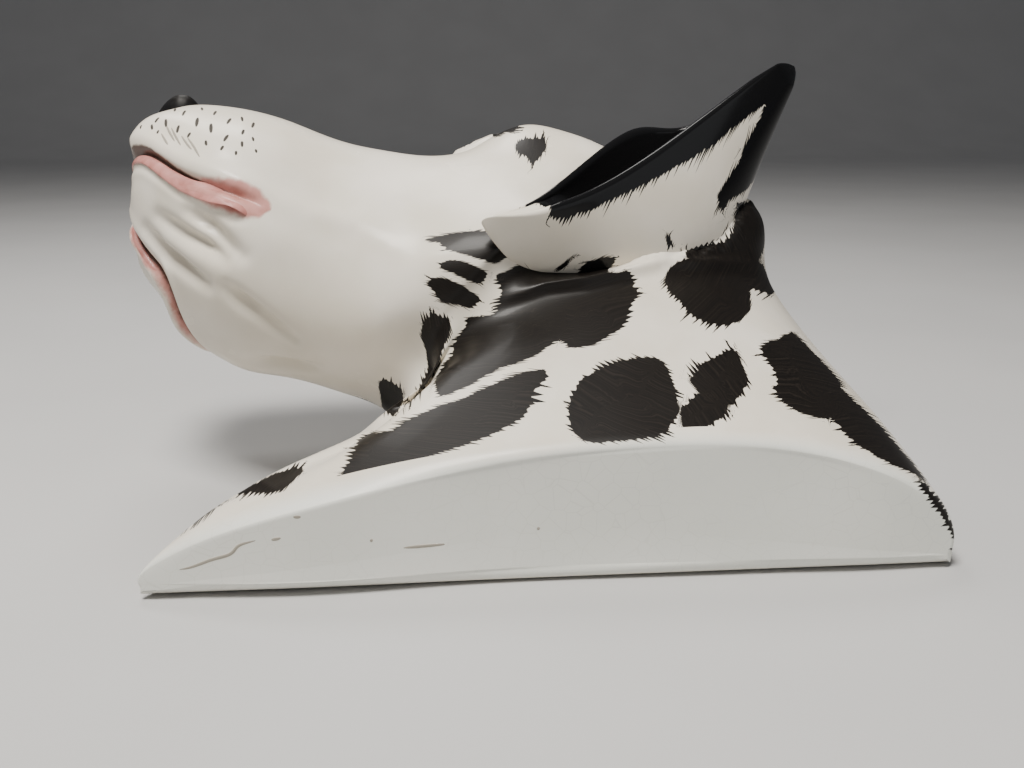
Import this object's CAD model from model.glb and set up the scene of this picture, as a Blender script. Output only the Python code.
import functools

import bmesh
import bpy
import numpy as np
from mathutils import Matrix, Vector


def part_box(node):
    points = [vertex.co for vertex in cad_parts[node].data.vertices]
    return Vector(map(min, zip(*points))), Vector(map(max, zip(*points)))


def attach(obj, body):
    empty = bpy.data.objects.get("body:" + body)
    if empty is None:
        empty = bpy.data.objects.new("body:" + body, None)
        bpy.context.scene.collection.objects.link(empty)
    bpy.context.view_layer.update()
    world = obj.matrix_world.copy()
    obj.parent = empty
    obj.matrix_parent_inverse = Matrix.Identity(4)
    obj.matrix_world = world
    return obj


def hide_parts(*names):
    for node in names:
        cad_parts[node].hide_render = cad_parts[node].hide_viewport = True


bl_info = {
    "name": "Animal Head Plaque",
    "version": (1, 0, 0),
    "blender": (4, 5, 0),
    "location": "View3D > Sidebar > Plaque",
    "description": "Painted and glazed skin of a ceramic animal head wall plaque, on its CAD frame",
    "category": "Object",
}

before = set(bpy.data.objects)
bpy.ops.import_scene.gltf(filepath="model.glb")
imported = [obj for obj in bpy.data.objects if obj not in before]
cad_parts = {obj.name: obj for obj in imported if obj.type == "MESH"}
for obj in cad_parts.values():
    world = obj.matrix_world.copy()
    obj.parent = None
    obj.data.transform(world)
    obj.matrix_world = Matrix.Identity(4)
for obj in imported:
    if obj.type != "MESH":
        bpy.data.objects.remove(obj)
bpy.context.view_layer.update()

# The plaque is designed in millimetres from the middle of the neck's cut: X to the right, Y up the wall
# and Z out of it.
MM = 0.001
PLATE_FROM_CUT = np.array([26.0, 110.0])
PLATE_HALF = np.array([43.0, 27.0])
NAIL_HOLE_FROM_CUT = np.array([-2.0, 126.0])
plate_low, plate_high = (np.array(corner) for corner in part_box("back_plate"))
CUT_MIDDLE = np.append((plate_low + plate_high)[:2] / 2 - MM * PLATE_FROM_CUT, 0.0)

# Head frame: its place between the eyes, the muzzle's roll in degrees, and half the brow's width.
HEAD_PLACE = np.array([-51.8, 138.9, 91.8])
MUZZLE_ROLL = 13.0
BROW_HALF_WIDTH = 63.0

# Neck sections: throat end, nape end, outward way, ridge share, outer and wall width, four roundnesses.
NECK_ROWS = [
    ((-146, 0, 6), (145, 0, 8), (0, 0, 1), 0.663, 44.174, 40, 2.0, 1.72, 3.0, 3.0),
    ((-120, 26, 11), (146, 40, 11), (0, 0, 1), 0.64, 57, 45, 2.05, 2.1, 3.0, 3.0),
    ((-88, 48, 19), (137, 86, 20), (0, -0.05, 1), 0.60, 68, 52, 2.1, 1.8, 3.0, 3.0),
    ((-69, 63, 34), (124, 128, 38), (0, -0.22, 1), 0.56, 66, 62, 2.35, 1.8, 3.0, 3.0),
    ((-55, 72, 46), (94, 158, 78), (0.08, -0.42, 0.9), 0.52, 66, 76, 2.3, 1.8, 2.8, 2.8),
]
# Head sections: throat station and depth, crown station and height, ridge share, half width, roundness,
# roll and lift.
HEAD_ROWS = [
    (-1, 70, -80, 64, 0.50, 63, 2.45, 0, 6),
    (22, 68, -21, 70, 0.52, 50, 2.3, 2, 0),
    (49, 66, 28, 55, 0.50, 42, 2.2, 7, 0),
    (76, 59, 66, 48, 0.48, 45.5, 2.2, 12, 0),
    (97, 44, 98, 40, 0.48, 43, 2.2, 13, 0),
    (110, 34, 113, 33, 0.50, 37, 2.2, 13, 0),
    (118, 23, 121, 24, 0.50, 27, 2.1, 13, 0),
    (123, 9, 124, 9, 0.50, 11, 2.0, 13, 0),
]
SEAM_ROW = 2.0
EYE_ROW = 6.0
EYE_ANGLE = 28.0
WALL_JOINT = 0.18            # row where the end wall meets the neck's shell
MOUTH_CORNER_ROW = 7.62
MOUTH_OPENING = 0.5          # rows over which the mouth opens
FIRST_MOUTH_ROW = 5.0        # the grid's columns follow the mouth from here on
HEAD_START = (4.2, 5.0)      # rows over which the head's own forms set in

# Mouth line in the muzzle's middle plane, carried back past its corner for the grid: along the axis, up.
MOUTH_LINE = np.array([(-60, -50), (-30, -49), (0, -48), (30, -46), (62, -43), (80, -39.5), (95, -33.5),
                       (108, -24.5), (118, -13), (132, 7)], float)
# The far lip hangs lower than the near one: stations, and its drop there.
FAR_LIP_STATIONS = (62, 80, 92, 106, 114, 120, 126)
FAR_LIP_DROP = (0.0, 3.0, 8.5, 15.0, 18.0, 15.0, 6.0)

# Widths of the painted lips in millimetres at these rows: near one under and over the mouth line, far one
# over it.
LIP_ROWS = (7.58, 7.67, 7.84, 8.02, 8.3, 8.8, 9.5, 10.5, 11.5, 12.0)
NEAR_LIP_UNDER = (0.0, 4.6, 7.3, 8.3, 8.0, 6.8, 5.6, 4.8, 4.3, 3.4)
NEAR_LIP_OVER = (0.0, 3.5, 5.0, 5.5, 3.5, 0.3, 0.0, 0.0, 0.0, 0.0)
FAR_LIP_OVER = (0.0, 1.2, 1.6, 1.8, 2.1, 2.6, 3.1, 3.1, 2.4, 1.2)
# Half thickness of the brown line between the lips at the same rows.
NEAR_LINE = (-2.0, -1.0, -0.4, -0.2, 0.0, 0.5, 1.5, 2.4, 2.8, 2.8)
FAR_LINE = (-2.0, -0.5, 0.1, 0.4, 0.6, 0.8, 0.9, 1.0, 1.0, 1.0)
FAR_LIP_LAP = 0.3            # pink of the far lip under the mouth line
# Swellings along the mouth: height, place under the mouth line, and width.
LIP_SWELLS = [(1.6, -5.0, 4.5), (1.3, 5.5, 4.0)]
FAR_LIP_STEP = [(1.5, -4.0, 4.0), (-1.2, 3.0, 3.0)]
NEAR_LIP_LEDGE = [(-0.9, 1.5, 1.8)]            # under the pink's edge
MOUTH_LINE_WIDTH = 1.5
# Roll of a lip: its depth in the skin at the corner, the share of its length that it takes to rise and the
# power of that rise, its sink against its height, its width against the painted lip, the share over which
# its ends narrow, and the shares of its first and last section.
LIP_SINK, LIP_SINK_SHARE, LIP_SINK_POWER = 1.6, 0.84, 1.5
LIP_ROLL_SINK, LIP_ROLL_WIDTH = 0.4, 0.92
LIP_TAPER, LIP_SHARES = 0.07, (0.002, 0.998)

# Near rim, keel and far rim of the ear at each station: along the head, up, and out past the brow.
EAR_STATIONS = np.array([
    ((-13, -35, 10), (-22, -38, 1), (-17, -31, 6)),
    ((-43, -26, 16), (-61, -29, -17), (-43, -7, 9)),
    ((-73, -1, 27), (-116, -7, -11), (-77, 43, 11)),
    ((-102, 32, 44), (-131, 26, 14), (-104, 53, 15)),
    ((-127, 61, 58), (-137, 64, 52), (-131, 67, 55)),
], float)

# Nose in the rolled muzzle frame.
NOSE_PLACE = np.array([112.0, 21.5, 0.0])
NOSE_HALF = np.array([14.0, 13.0, 33.0])
NOSE_FLARE = 0.10            # the nose's wings are this much larger
NOSE_FRONT = 3.0             # how fast nostrils and slit set in from the side
NOSTRIL_DEPTH, NOSTRIL_OUT, NOSTRIL_LOW, NOSTRIL_SLANT = 2.6, 15.0, 1.5, 0.25
NOSTRIL_WIDTH, NOSTRIL_HEIGHT = 6.5, 3.4
NOSE_SLIT_DEPTH, NOSE_SLIT_WIDTH, NOSE_SLIT_TOP, NOSE_SLIT_FADE = 1.2, 1.6, 4.0, 6.0

# Eyelids: height, radius and width of their ring, and the socket in it. The ring is longer along the head.
LID_RING = [(3.4, 8.6, 2.3)]
SOCKET_DEPTH, SOCKET_RADIUS = 4.0, 6.2
EYE_LONG, EYE_NARROW, EYE_REACH = 1.28, 1.08, 25.0
CORNEA_RISE, CORNEA_SPREAD = 0.05, 0.55

# The photograph's camera, in the plaque's millimetres and the picture's pixels.
PICTURE = (1024, 768)
FOCAL_PIXELS = 1000.0
CAMERA_PLACE = np.array([-44.282, -318.425, 163.745])
CAMERA_YAW = np.radians(4.8265)
CAMERA_PITCH = np.radians(15.8545)
CAMERA_RIGHT = np.array([np.cos(CAMERA_YAW), -np.sin(CAMERA_YAW), 0.0])
LEVEL_AHEAD = np.array([np.sin(CAMERA_YAW), np.cos(CAMERA_YAW), 0.0])
CAMERA_AHEAD = np.cos(CAMERA_PITCH) * LEVEL_AHEAD - np.sin(CAMERA_PITCH) * np.array([0.0, 0.0, 1.0])
CAMERA_UP = np.cross(CAMERA_RIGHT, CAMERA_AHEAD)

# Painted patches that the picture shows: the way of the brush strokes there, in degrees clockwise from the
# picture's right, and the outline in the picture's pixels.
NECK_PATCHES = {
    "cheek": (175, [
        (425, 240), (450, 234), (475, 231), (486, 232), (500, 238), (510, 248), (510, 255), (500, 262),
        (493, 264), (483, 260), (470, 256), (448, 250), (440, 243)]),
    "cheek_middle": (190, [
        (439, 267), (448, 260), (463, 262), (473, 265), (485, 271), (487, 275), (481, 283), (470, 281),
        (460, 277), (453, 273)]),
    "cheek_low": (200, [
        (427, 281), (438, 277), (453, 281), (466, 288), (478, 297), (479, 301), (470, 308), (458, 305),
        (442, 301), (432, 290)]),
    "jaw_crescent": (255, [
        (422, 326), (431, 315), (440, 316), (450, 320), (449, 334), (445, 344), (440, 358), (436, 371),
        (430, 382), (417, 396), (408, 404), (418, 390), (427, 372), (427, 362), (425, 349), (422, 336)]),
    "throat": (265, [
        (379, 382), (385, 379), (394, 383), (402, 390), (403, 401), (400, 409), (394, 416), (384, 410),
        (381, 399)]),
    "under_ear": (172, [
        (435, 379), (445, 364), (453, 353), (452, 347), (458, 336), (466, 326), (467, 318), (480, 316),
        (493, 313), (499, 304), (500, 293), (498, 281), (496, 275), (508, 271), (521, 264), (531, 266),
        (541, 267), (559, 268), (576, 272), (612, 272), (629, 271), (635, 286), (639, 291), (632, 303),
        (627, 318), (620, 329), (609, 336), (596, 343), (582, 347), (571, 348), (564, 343), (557, 341),
        (543, 351), (519, 363), (500, 368), (483, 377), (466, 387), (455, 392), (441, 396), (436, 390)]),
    "ear_base_spot": (165, [
        (580, 271), (584, 263), (596, 259), (612, 257), (614, 263), (609, 268), (606, 275), (582, 275)]),
    "ear_base_stroke": (140, [
        (555, 271), (561, 264), (571, 257), (579, 255), (572, 260), (566, 267), (557, 272)]),
    "ear_mark": (100, [
        (667, 233), (670, 238), (673, 246), (669, 245), (666, 239)]),
    "diagonal": (5, [
        (341, 473), (349, 462), (353, 451), (359, 440), (370, 433), (389, 430), (406, 421), (433, 408),
        (462, 398), (491, 385), (521, 373), (534, 370), (545, 369), (547, 376), (543, 382), (535, 392),
        (532, 404), (525, 415), (516, 421), (488, 436), (452, 449), (412, 462), (386, 470), (359, 475),
        (350, 478), (344, 478)]),
    "square": (24, [
        (569, 405), (569, 418), (572, 430), (580, 439), (593, 443), (611, 442), (634, 440), (653, 437),
        (667, 431), (676, 419), (679, 408), (678, 398), (675, 388), (671, 376), (666, 366), (659, 359),
        (645, 357), (628, 359), (611, 363), (597, 371), (583, 378), (576, 387), (572, 397)]),
    "twin_upper": (230, [
        (690, 378), (694, 373), (699, 366), (706, 360), (716, 356), (732, 348), (739, 355), (743, 367),
        (748, 378), (746, 387), (740, 395), (733, 406), (722, 404), (704, 399), (695, 387)]),
    "twin_lower": (55, [
        (680, 411), (685, 404), (695, 396), (704, 390), (722, 396), (728, 408), (722, 417), (706, 427),
        (697, 431), (692, 436), (686, 436), (682, 425)]),
    "nape": (180, [
        (793, 332), (780, 338), (766, 343), (761, 350), (765, 358), (771, 366), (776, 376), (776, 385),
        (773, 388), (780, 398), (788, 406), (803, 414), (820, 419), (831, 419), (838, 426), (856, 444),
        (884, 461), (914, 474), (926, 483), (921, 473), (904, 453), (881, 426), (853, 398), (843, 390),
        (838, 378), (818, 356), (798, 337)]),
    "ear_back": (120, [
        (665, 277), (675, 264), (690, 258), (721, 255), (749, 256), (762, 264), (775, 285), (772, 295),
        (759, 291), (750, 291), (751, 305), (744, 318), (726, 326), (708, 323), (690, 315), (678, 300),
        (667, 289)]),
    "nape_ridge": (250, [
        (688, 249), (690, 260), (721, 268), (752, 269), (761, 256), (769, 229), (766, 208), (749, 200),
        (736, 213), (734, 229), (724, 241), (706, 245)]),
    "forehead": (100, [
        (516, 146), (522, 139), (535, 137), (545, 139), (546, 150), (542, 155), (532, 165), (527, 157),
        (519, 155)]),
    "brow": (180, [
        (493, 137), (505, 133), (514, 132), (518, 127), (512, 122), (498, 124)]),
    "lobe": (130, [
        (236, 491), (251, 485), (269, 476), (286, 470), (296, 467), (304, 470), (296, 478), (286, 488),
        (272, 493), (261, 493), (249, 493), (239, 495)]),
    "cut_right_edge": (160, [
        (918, 476), (930, 488), (944, 508), (955, 530), (958, 546), (950, 530), (936, 506), (922, 488)]),
    "cut_left_edge": (120, [
        (150, 556), (168, 538), (195, 520), (228, 500), (200, 519), (172, 539)]),
}
WALL_PATCHES = ("cut_right_edge", "cut_left_edge", "square", "nape")
EAR_WHITE = (115, [
        (470, 190), (540, 190), (553, 218), (583, 213), (609, 202), (640, 187), (672, 170), (708, 149),
        (730, 131), (762, 106), (758, 121), (750, 136), (743, 148), (739, 162), (730, 174), (721, 189),
        (718, 198), (722, 213), (730, 200), (743, 193), (752, 183), (762, 168), (775, 175), (765, 205),
        (739, 208), (734, 220), (715, 241), (687, 250), (672, 264), (640, 282), (600, 292), (555, 292),
        (510, 280), (470, 250)])
# Black strokes on the ear's white.
EAR_PATCHES = ("ear_base_spot", "ear_base_stroke", "ear_mark")
# Whisker dots: picture place, then length in millimetres. They lean to and fro about one way.
WHISKER_DOTS = np.array([
    (175, 110, 2.2), (184, 113, 2.4), (202, 109, 1.8), (215, 113, 2.2), (197, 122, 3.8), (211, 128, 3.8),
    (229, 121, 2.8), (242, 119, 2.2), (253, 125, 2.4), (243, 132, 2.2), (253, 139, 1.8), (226, 138, 3.2),
    (242, 144, 2.4), (236, 153, 1.8), (222, 148, 2.2), (206, 143, 2.2), (189, 135, 2.4), (178, 129, 3.2),
    (166, 123, 3.2), (157, 120, 2.6), (152, 127, 2.2), (141, 127, 1.6), (158, 132, 1.6), (256, 151, 1.6)])
DOT_WAY, DOT_SWAY, DOT_BEAT = 102.0, 22.0, 2.4
DOT_PIXEL = 0.45             # millimetres of one pixel on skin that faces the camera
DOT_STRETCH = 2.2            # most that a dot is lengthened on skin that turns away
DOT_HALF_LENGTH, DOT_POINTS = 0.62, 9
DOT_HALF_WIDTH, DOT_WIDENING = 0.45, 0.12
DOT_RISE, DOT_TONE = 0.6, 0.05
FIRST_DOT_ROW = 8.0
# Grey marks of a nearly dry brush on the muzzle, and stains in the glaze of the cut, from place to place.
DRY_BRUSH = [[(166, 125), (170, 133), (175, 142)], [(171, 127), (176, 137), (181, 146)],
             [(187, 137), (194, 147), (200, 158)], [(181, 135), (187, 144), (192, 150)],
             [(161, 133), (165, 140), (168, 145)]]
CUT_STAINS = [[(177, 570), (188, 568), (200, 564), (214, 559), (230, 554), (237, 547), (246, 543),
               (258, 540)], [(271, 540), (281, 538)], [(293, 517), (301, 517)], [(370, 540), (373, 541)],
              [(402, 548), (424, 546), (448, 544)], [(537, 528), (540, 529)]]
# Half width, rise and tone of these marks, and how many points a path has.
DRY_BRUSH_FORM = (0.6, 0.4, 0.45)
DRY_BRUSH_POINTS = 24
CUT_STAIN_FORM = (0.75, 0.18, 0.5)
CUT_STAIN_POINTS = 60
MARK_COLUMNS, MARK_SINK, MARK_SHARES = 12, 0.35, (0.004, 0.996)

# Patches on the sides that the picture doesn't show: middle and radii in the head frame, along, up, out.
HIDDEN_HEAD_PATCHES = [
    ((-52, 30, -58), (26, 20, 30)), ((8, 6, -50), (17, 15, 25)), ((-20, -34, -50), (16, 20, 26)),
    ((34, 42, -30), (12, 10, 16)), ((-40, 62, -14), (18, 20, 18)), ((66, 20, -42), (9, 7, 14)),
    ((-66, 50, 26), (15, 16, 15)), ((6, -58, -22), (18, 14, 18)),
]
HIDDEN_NECK_PATCHES = [
    ((118, 150, 40), (26, 24, 30)), ((60, 178, 70), (24, 20, 26)), ((-50, 70, 20), (16, 20, 22)),
    ((143, 84, 10), (18, 20, 18)),
]

# Valleys of the chin in the head frame, from place to place: along, up, out.
CHIN_CREASES = [
    [(105, -33, 21), (94, -39, 23), (83, -48, 28), (75, -52, 29)],
    [(93, -36, 32), (84, -41, 34), (69, -51, 33)],
    [(109, -33, 11), (101, -40, 9), (80, -55, 15)],
    [(71, -58, 19), (64, -60, 17), (57, -61, 15), (42, -66, 9)],
    [(61, -66, -15), (47, -65, -10), (31, -67, -4)],
]
CHIN_CREASE_WIDTH = 3.6
CHEEK_RIDGE = [[(78, -26, 48), (65, -29, 46), (49, -30, 43), (29, -27, 44), (14, -35, 46)]]
CHEEK_RIDGE_FORM = (6.0, -1.4)
# Fold of skin round the ear's base and the groove behind it, in the plaque's millimetres.
EAR_FOLD = [[(-14, 71, 90), (2, 73.7, 93), (18, 75, 93.3), (40, 81.5, 96.5), (52, 86, 98)],
            [(56, 85.5, 98.5), (69, 90, 97), (83, 96.5, 96), (97, 104, 94)]]
# Hollow of the throat along the neck's edge, and the bend from cheek to neck, which is smoothed.
THROAT_HOLLOW = [[(-104, 16, 37), (-91, 25, 44), (-81, 32, 49), (-70, 40, 53.5), (-61, 50, 58),
                  (-52, 62, 64), (-45, 66, 72), (-40, 65, 82)]]
CHEEK_BEND = [[(-15, 70.5, 110), (-18, 67.7, 106), (-24.6, 64.5, 101.5), (-29.3, 63.2, 97), (-33, 63, 92.4),
               (-37, 62.6, 87.7), (-40, 65, 80)]]
CHEEK_BEND_WIDTH, CHEEK_BEND_ROUNDS = 13.0, 600
EAR_GROOVE = [[(-8, 75, 100), (3, 76.5, 99.5), (20, 79.5, 100), (36, 84, 101.5)]]
# Creases of the neck with their width and depth, which is negative for a fold.
NECK_CREASES = [(EAR_FOLD, 3.2, -4.0), (EAR_GROOVE, 4.5, 6.0), (THROAT_HOLLOW, 15.0, 11.5)]
# Swelling of the skin at the ear: height, reach, and the places across the plaque between which it sets in.
EAR_SWELL, EAR_SWELL_REACH, EAR_SWELL_START = 5.5, 4.5, (35.0, 55.0)
EAR_SWELL_MARGIN = 4                           # reaches round the ear in which it is worked out
EAR_SWELL_ROWS, EAR_SWELL_COLUMNS = 4, 6       # steps between the ear's points that are measured to
# Smoothed front of the muzzle: rows where it sets in, rounds, and the strip left alone at the mouth.
BLUNT_ROWS, BLUNT_ROUNDS, BLUNT_MOUTH = (11.2, 11.7), 220, 2.0
TIP_RISE, TIP_ROUNDNESS = 2.5, 0.98

# Waves of the hand-trimmed cut, towards the camera and sideways at its throat end: place across it,
# reach, size.
CUT_WAVES = [((-90,), (42,), -3.6), ((-5,), (38,), 1.6), ((112,), (26,), -1.3)]
CUT_TOE = [((-148,), (9,), -3.2)]
CUT_CENTRE = np.array([10.0, 0.0, 20.0])
CUT_DISH, CUT_RIPPLE, CUT_RIPPLE_REACH = 0.72, 0.25, (19.0, 11.0)
CUT_TANGENT, CUT_WINDOW = 3, 12                # columns over which the edge's ways are found and evened out
CUT_WHITE_START = (0.125, 0.75)                # shares of the rolled edge between which the white sets in
EDGE_SWELL, EDGE_SWELL_REACH = 0.9, 7.0        # the edge is rounder near the wall

# Gentle hills and hollows of the head: middle and radii along, up and out, then height in millimetres.
PAIRED_HEAD_FORMS = [
    ((3, 52, 30), (19, 20, 24), -10.0),        # hollow in front of the brow
    ((-54, 52, 50), (30, 20, 22), 6.0),        # brow
    ((-34, 54, 46), (15, 18, 18), 4.0),
    ((20, -20, 46), (24, 26, 26), 2.0),        # cheek
    ((84, -8, 46), (20, 18, 20), 2.0),         # whisker pad
    ((40, 42, 26), (32, 16, 22), -2.6),        # bridge of the nose
]
HEAD_FORMS = [
    ((-4, 72, 0), (26, 20, 9), -2.5),          # furrow between the brows
    ((118, 12, 0), (12, 14, 3.2), -2.0),       # groove under the nose
]
HEAD_FORMS += [((along, up, side * out), radii, height)
               for (along, up, out), radii, height in PAIRED_HEAD_FORMS for side in (1, -1)]
# The same in the rolled muzzle frame.
MUZZLE_FORMS = [
    ((121, -2, 27), (13, 11, 13), 6.0),        # front of the near upper lip
    ((121, 0, -25), (13, 10, 13), -3.0),       # front of the far upper lip
    ((124, -13, -13), (10, 14, 11), -4.0),
    ((114, -31, -17), (9, 8, 9), -3.0),
    ((127, 0, -2), (8, 7, 8), -3.0),
    ((119, -20, 12), (9, 10, 13), 1.4),        # chin
    ((124, -5, 3), (9, 9, 13), -2.5),
    ((58, -50, -33), (24, 15, 16), 8.5),       # far lip, hanging past the chin
    ((88, -38, -38), (16, 10, 12), 3.0),
    ((60, -50, 30), (22, 10, 12), 2.0),        # near lip
]
# The same for the neck, in the plaque's millimetres.
NECK_FORMS = [
    ((95, 117, 109), (17, 17, 17), 18.0),      # ear muscle on the nape
    ((28, 52, 96), (34, 10, 8), 2.5),          # fold under the ear
    ((-8, 72, 108), (11, 9, 10), -8.0),        # hollows behind the ear's lobe and inside the ear
    ((22, 95, 129), (16, 13, 13), -9.0),
    ((38, 110, 134), (16, 14, 13), -9.0),
]

# Black of the ear's inside: the station where it starts, its slant across the ear, steepness and depth.
EAR_BLACK_START, EAR_BLACK_SLANT, EAR_BLACK_STEEPNESS, EAR_BLACK_DEPTH = 0.64, 0.3, 14.0, 12.0
# Reach of the strokes outside and inside the ear, and the station up to which its root is white.
EAR_STROKES, EAR_INNER_STROKES, EAR_ROOT = 2.0, 0.2, 0.4
EAR_HOLLOW = (0.75, 2.05)    # stations between which the ear's cup opens
EAR_ROOT_DOME = 0.06
EAR_THICKEST = 0.45          # of the ear's width or depth
EAR_TIP, EAR_TIP_ROUNDNESS = (3.85, 4.0), 0.995
EAR_BASE, EAR_BASE_ROUNDNESS = (0.3, 0.0), 0.99
EAR_FLOAT = 0.2              # least height of the far ear over the wall
EAR_END_ROWS = (9, -20)      # rows against which the ways out of the base and the tip are taken

# Rows and columns of the grids.
NEAR_COLUMNS, UNDER_COLUMNS = 112, 92
NECK_GRID_ROWS, HEAD_GRID_ROWS, TIP_ROWS = 96, 286, 16
CURVE_STEPS, STATION_STEPS, MOUTH_STEPS = 1440, 3000, 400
CUT_COLUMNS, CUT_ROLL_ROWS, CUT_FACE_ROWS = 640, 14, 43
EAR_GRID_ROWS, EAR_HALF_COLUMNS, EAR_RIM_COLUMNS = 210, 110, 10
NOSE_ROWS, NOSE_COLUMNS = 140, 260
EYE_ROWS, EYE_COLUMNS = 90, 120
LIP_COLUMNS = 28
# Spacing of the grid: how columns crowd to the mouth and rows to the tip, and the moving means' windows.
CROWDING, UNDER_CROWDING, TIP_CROWDING = 0.45, 0.3, 0.6
MOUTH_WINDOW, LIP_WINDOW = 7, 3
SMALL_STEP = 0.02            # for slopes of the skin at the eyes, in rows and in radians
LEAST_SMOOTHING = 0.02       # weights up to this one leave the skin alone
# Inside of the ear, counted in columns from the start of its inner half ellipse.
EAR_INSIDE_START = EAR_HALF_COLUMNS + EAR_RIM_COLUMNS
EAR_INSIDE_END = EAR_INSIDE_START + EAR_HALF_COLUMNS - 1
# The mouth's inside: the point that closes it, in the muzzle frame, and how far the tip stands out.
MOUTH_INSIDE, TIP_POINT = (70, -20, 0), 0.2
FAR_LIP_BLEND = 12.0         # distance from the middle over which the far lip's drop sets in
CREASE_ENDS = 0.12           # a crease is shallow at both ends, as the sine near 0 and 1
# The flat back behind the plate and its nail hole.
FLAT_BACK, PLATE_GAP, NAIL_HOLE_REACH, NAIL_HOLE_DEPTH = 0.01, 0.5, 7.0, 30.0

# Paint. A patch's value is millimetres inside its edge; facings are cosines towards the camera.
FAR_OUTSIDE = -30.0          # value where no patch is near
SILHOUETTE_FADE = 45.0       # loss of a patch as the skin turns away from the camera
FADE_START, HIDDEN_START = 0.08, 0.12
HIDDEN_STROKES = 0.8
STROKE_LEAN = 0.32           # least share of a brush stroke's length that crosses an edge
PATCH_MARGIN = 45.0          # pixels round an outline in which its patch is worked out
LEAST_FACING = -0.7
# Shift of the stroke lanes from one patch to the next, seen and hidden, and the slant of hidden strokes.
PATCH_LANES, BLOB_LANES, BLOB_SLANT = 37.0, 53.0, 0.8
BLOB_WAVES = ((0.12, 3, 1), (0.07, 5, 2))      # of a hidden patch's outline: size, beat and shift
LEAST_VISIBLE = 0.03
STROKE_FACING, LEAST_STROKE = (0.35, 2.2), 0.3  # strokes shorten as the skin turns away from the camera

# Stage in metres: the floor, the world's colour and strength, and the lights' place, aim, size, power and
# colour.
FLOOR_HALF_WIDTH, FLOOR_FRONT, FLOOR_DEPTH = 4.0, -3.0, 5.4
FLOOR_BEND, FLOOR_BACK, FLOOR_GAP = 1.2, 3.0, 0.0006
FLOOR_ROWS, FLOOR_COLUMNS = 60, 9
FLOOR_TURN = (0.6, 0.9)      # shares of the rows between which the floor turns up
FLOOR_SHADE = 0.96
SKY = (0.9, 0.93, 1.0, 1.0), 0.12
LIGHTS = {
    "key": ((-0.24, -0.40, 1.2), (-0.02, -0.02, 0.08), 0.4, 25.0, (1.0, 0.965, 0.91)),
    "fill": ((0.7, -1.0, 0.45), (0.0, -0.05, 0.06), 0.9, 2.0, (0.95, 0.98, 1.0)),
    "top": ((-0.25, 0.55, 1.1), (-0.05, 0.0, 0.1), 0.5, 7.0, (1.0, 0.98, 0.95)),
}
SENSOR_WIDTH, NEAREST_SEEN = 36.0, 0.01


def unit(vectors):
    """Vectors divided by their lengths."""
    return vectors / np.maximum(np.linalg.norm(vectors, axis=-1, keepdims=True), 1e-12)


def bell(value, middle, width):
    """Gaussian exp(-((v - middle) / width)^2)."""
    return np.exp(-(((value - middle) / width) ** 2))


def ridges(value, profile):
    """Sum of bells, each with its height, middle and width."""
    return sum(height * bell(value, middle, width) for height, middle, width in profile)


def linear_step(value, low, high):
    """Share of the way from low to high, kept between 0 and 1."""
    return np.clip((value - low) / (high - low), 0, 1)


def smooth_step(value, low, high):
    """The same share t, eased as t^2 (3 - 2 t)."""
    t = linear_step(value, low, high)
    return t * t * (3 - 2 * t)


def moving_mean(values, half):
    """Mean of each column over half a window to both sides, with its ends held."""
    window = np.full(2 * half + 1, 1 / (2 * half + 1))
    return np.stack([np.convolve(np.pad(column, half, "edge"), window, "valid") for column in values.T], 1)


def ball_ways(rows, columns):
    """Outward ways sin a cos b, sin a sin b, cos a of a ball's grid without poles, and its angles a."""
    lift = np.linspace(0, np.pi, rows + 2)[1:-1, None]
    turn = np.linspace(0, 2 * np.pi, columns, endpoint=False)[None]
    ways = [np.sin(lift) * np.cos(turn), np.sin(lift) * np.sin(turn), np.cos(lift) + 0 * turn]
    return np.stack(ways, -1), lift


# The head's near side, its axis towards the muzzle, and its crown.
NEAR_SIDE = unit(np.array([0.26, -0.62, 0.74]))
HEAD_AXIS = np.array([-0.952, -0.050, 0.303])
HEAD_AXIS = unit(HEAD_AXIS - (HEAD_AXIS @ NEAR_SIDE) * NEAR_SIDE)
CROWN_SIDE = np.cross(HEAD_AXIS, NEAR_SIDE)


def turned(roll):
    """Crown and near-side ways turned about the head's axis: u cos - l sin and l cos + u sin."""
    c, s = np.cos(np.radians(roll)), np.sin(np.radians(roll))
    return CROWN_SIDE * c - NEAR_SIDE * s, NEAR_SIDE * c + CROWN_SIDE * s


def head_points(inside, roll=0.0):
    """Plaque points of head-frame points: place + along m + up u + out l."""
    inside = np.asarray(inside, float)
    up, out = turned(roll)
    return HEAD_PLACE + inside[..., 0:1] * HEAD_AXIS + inside[..., 1:2] * up + inside[..., 2:3] * out


def in_head(points, roll=0.0):
    """Head-frame coordinates of plaque points: the dot products with the frame's three ways."""
    return (points - HEAD_PLACE) @ np.stack([HEAD_AXIS, *turned(roll)], -1)


def mirrored(points, roll=0.0):
    """Mirror image of plaque points across the head's middle plane."""
    return head_points(in_head(points, roll) * (1, 1, -1), roll)


def to_metres(points):
    """Metres in the shared frame of plaque millimetres."""
    return points * MM + CUT_MIDDLE


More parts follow.
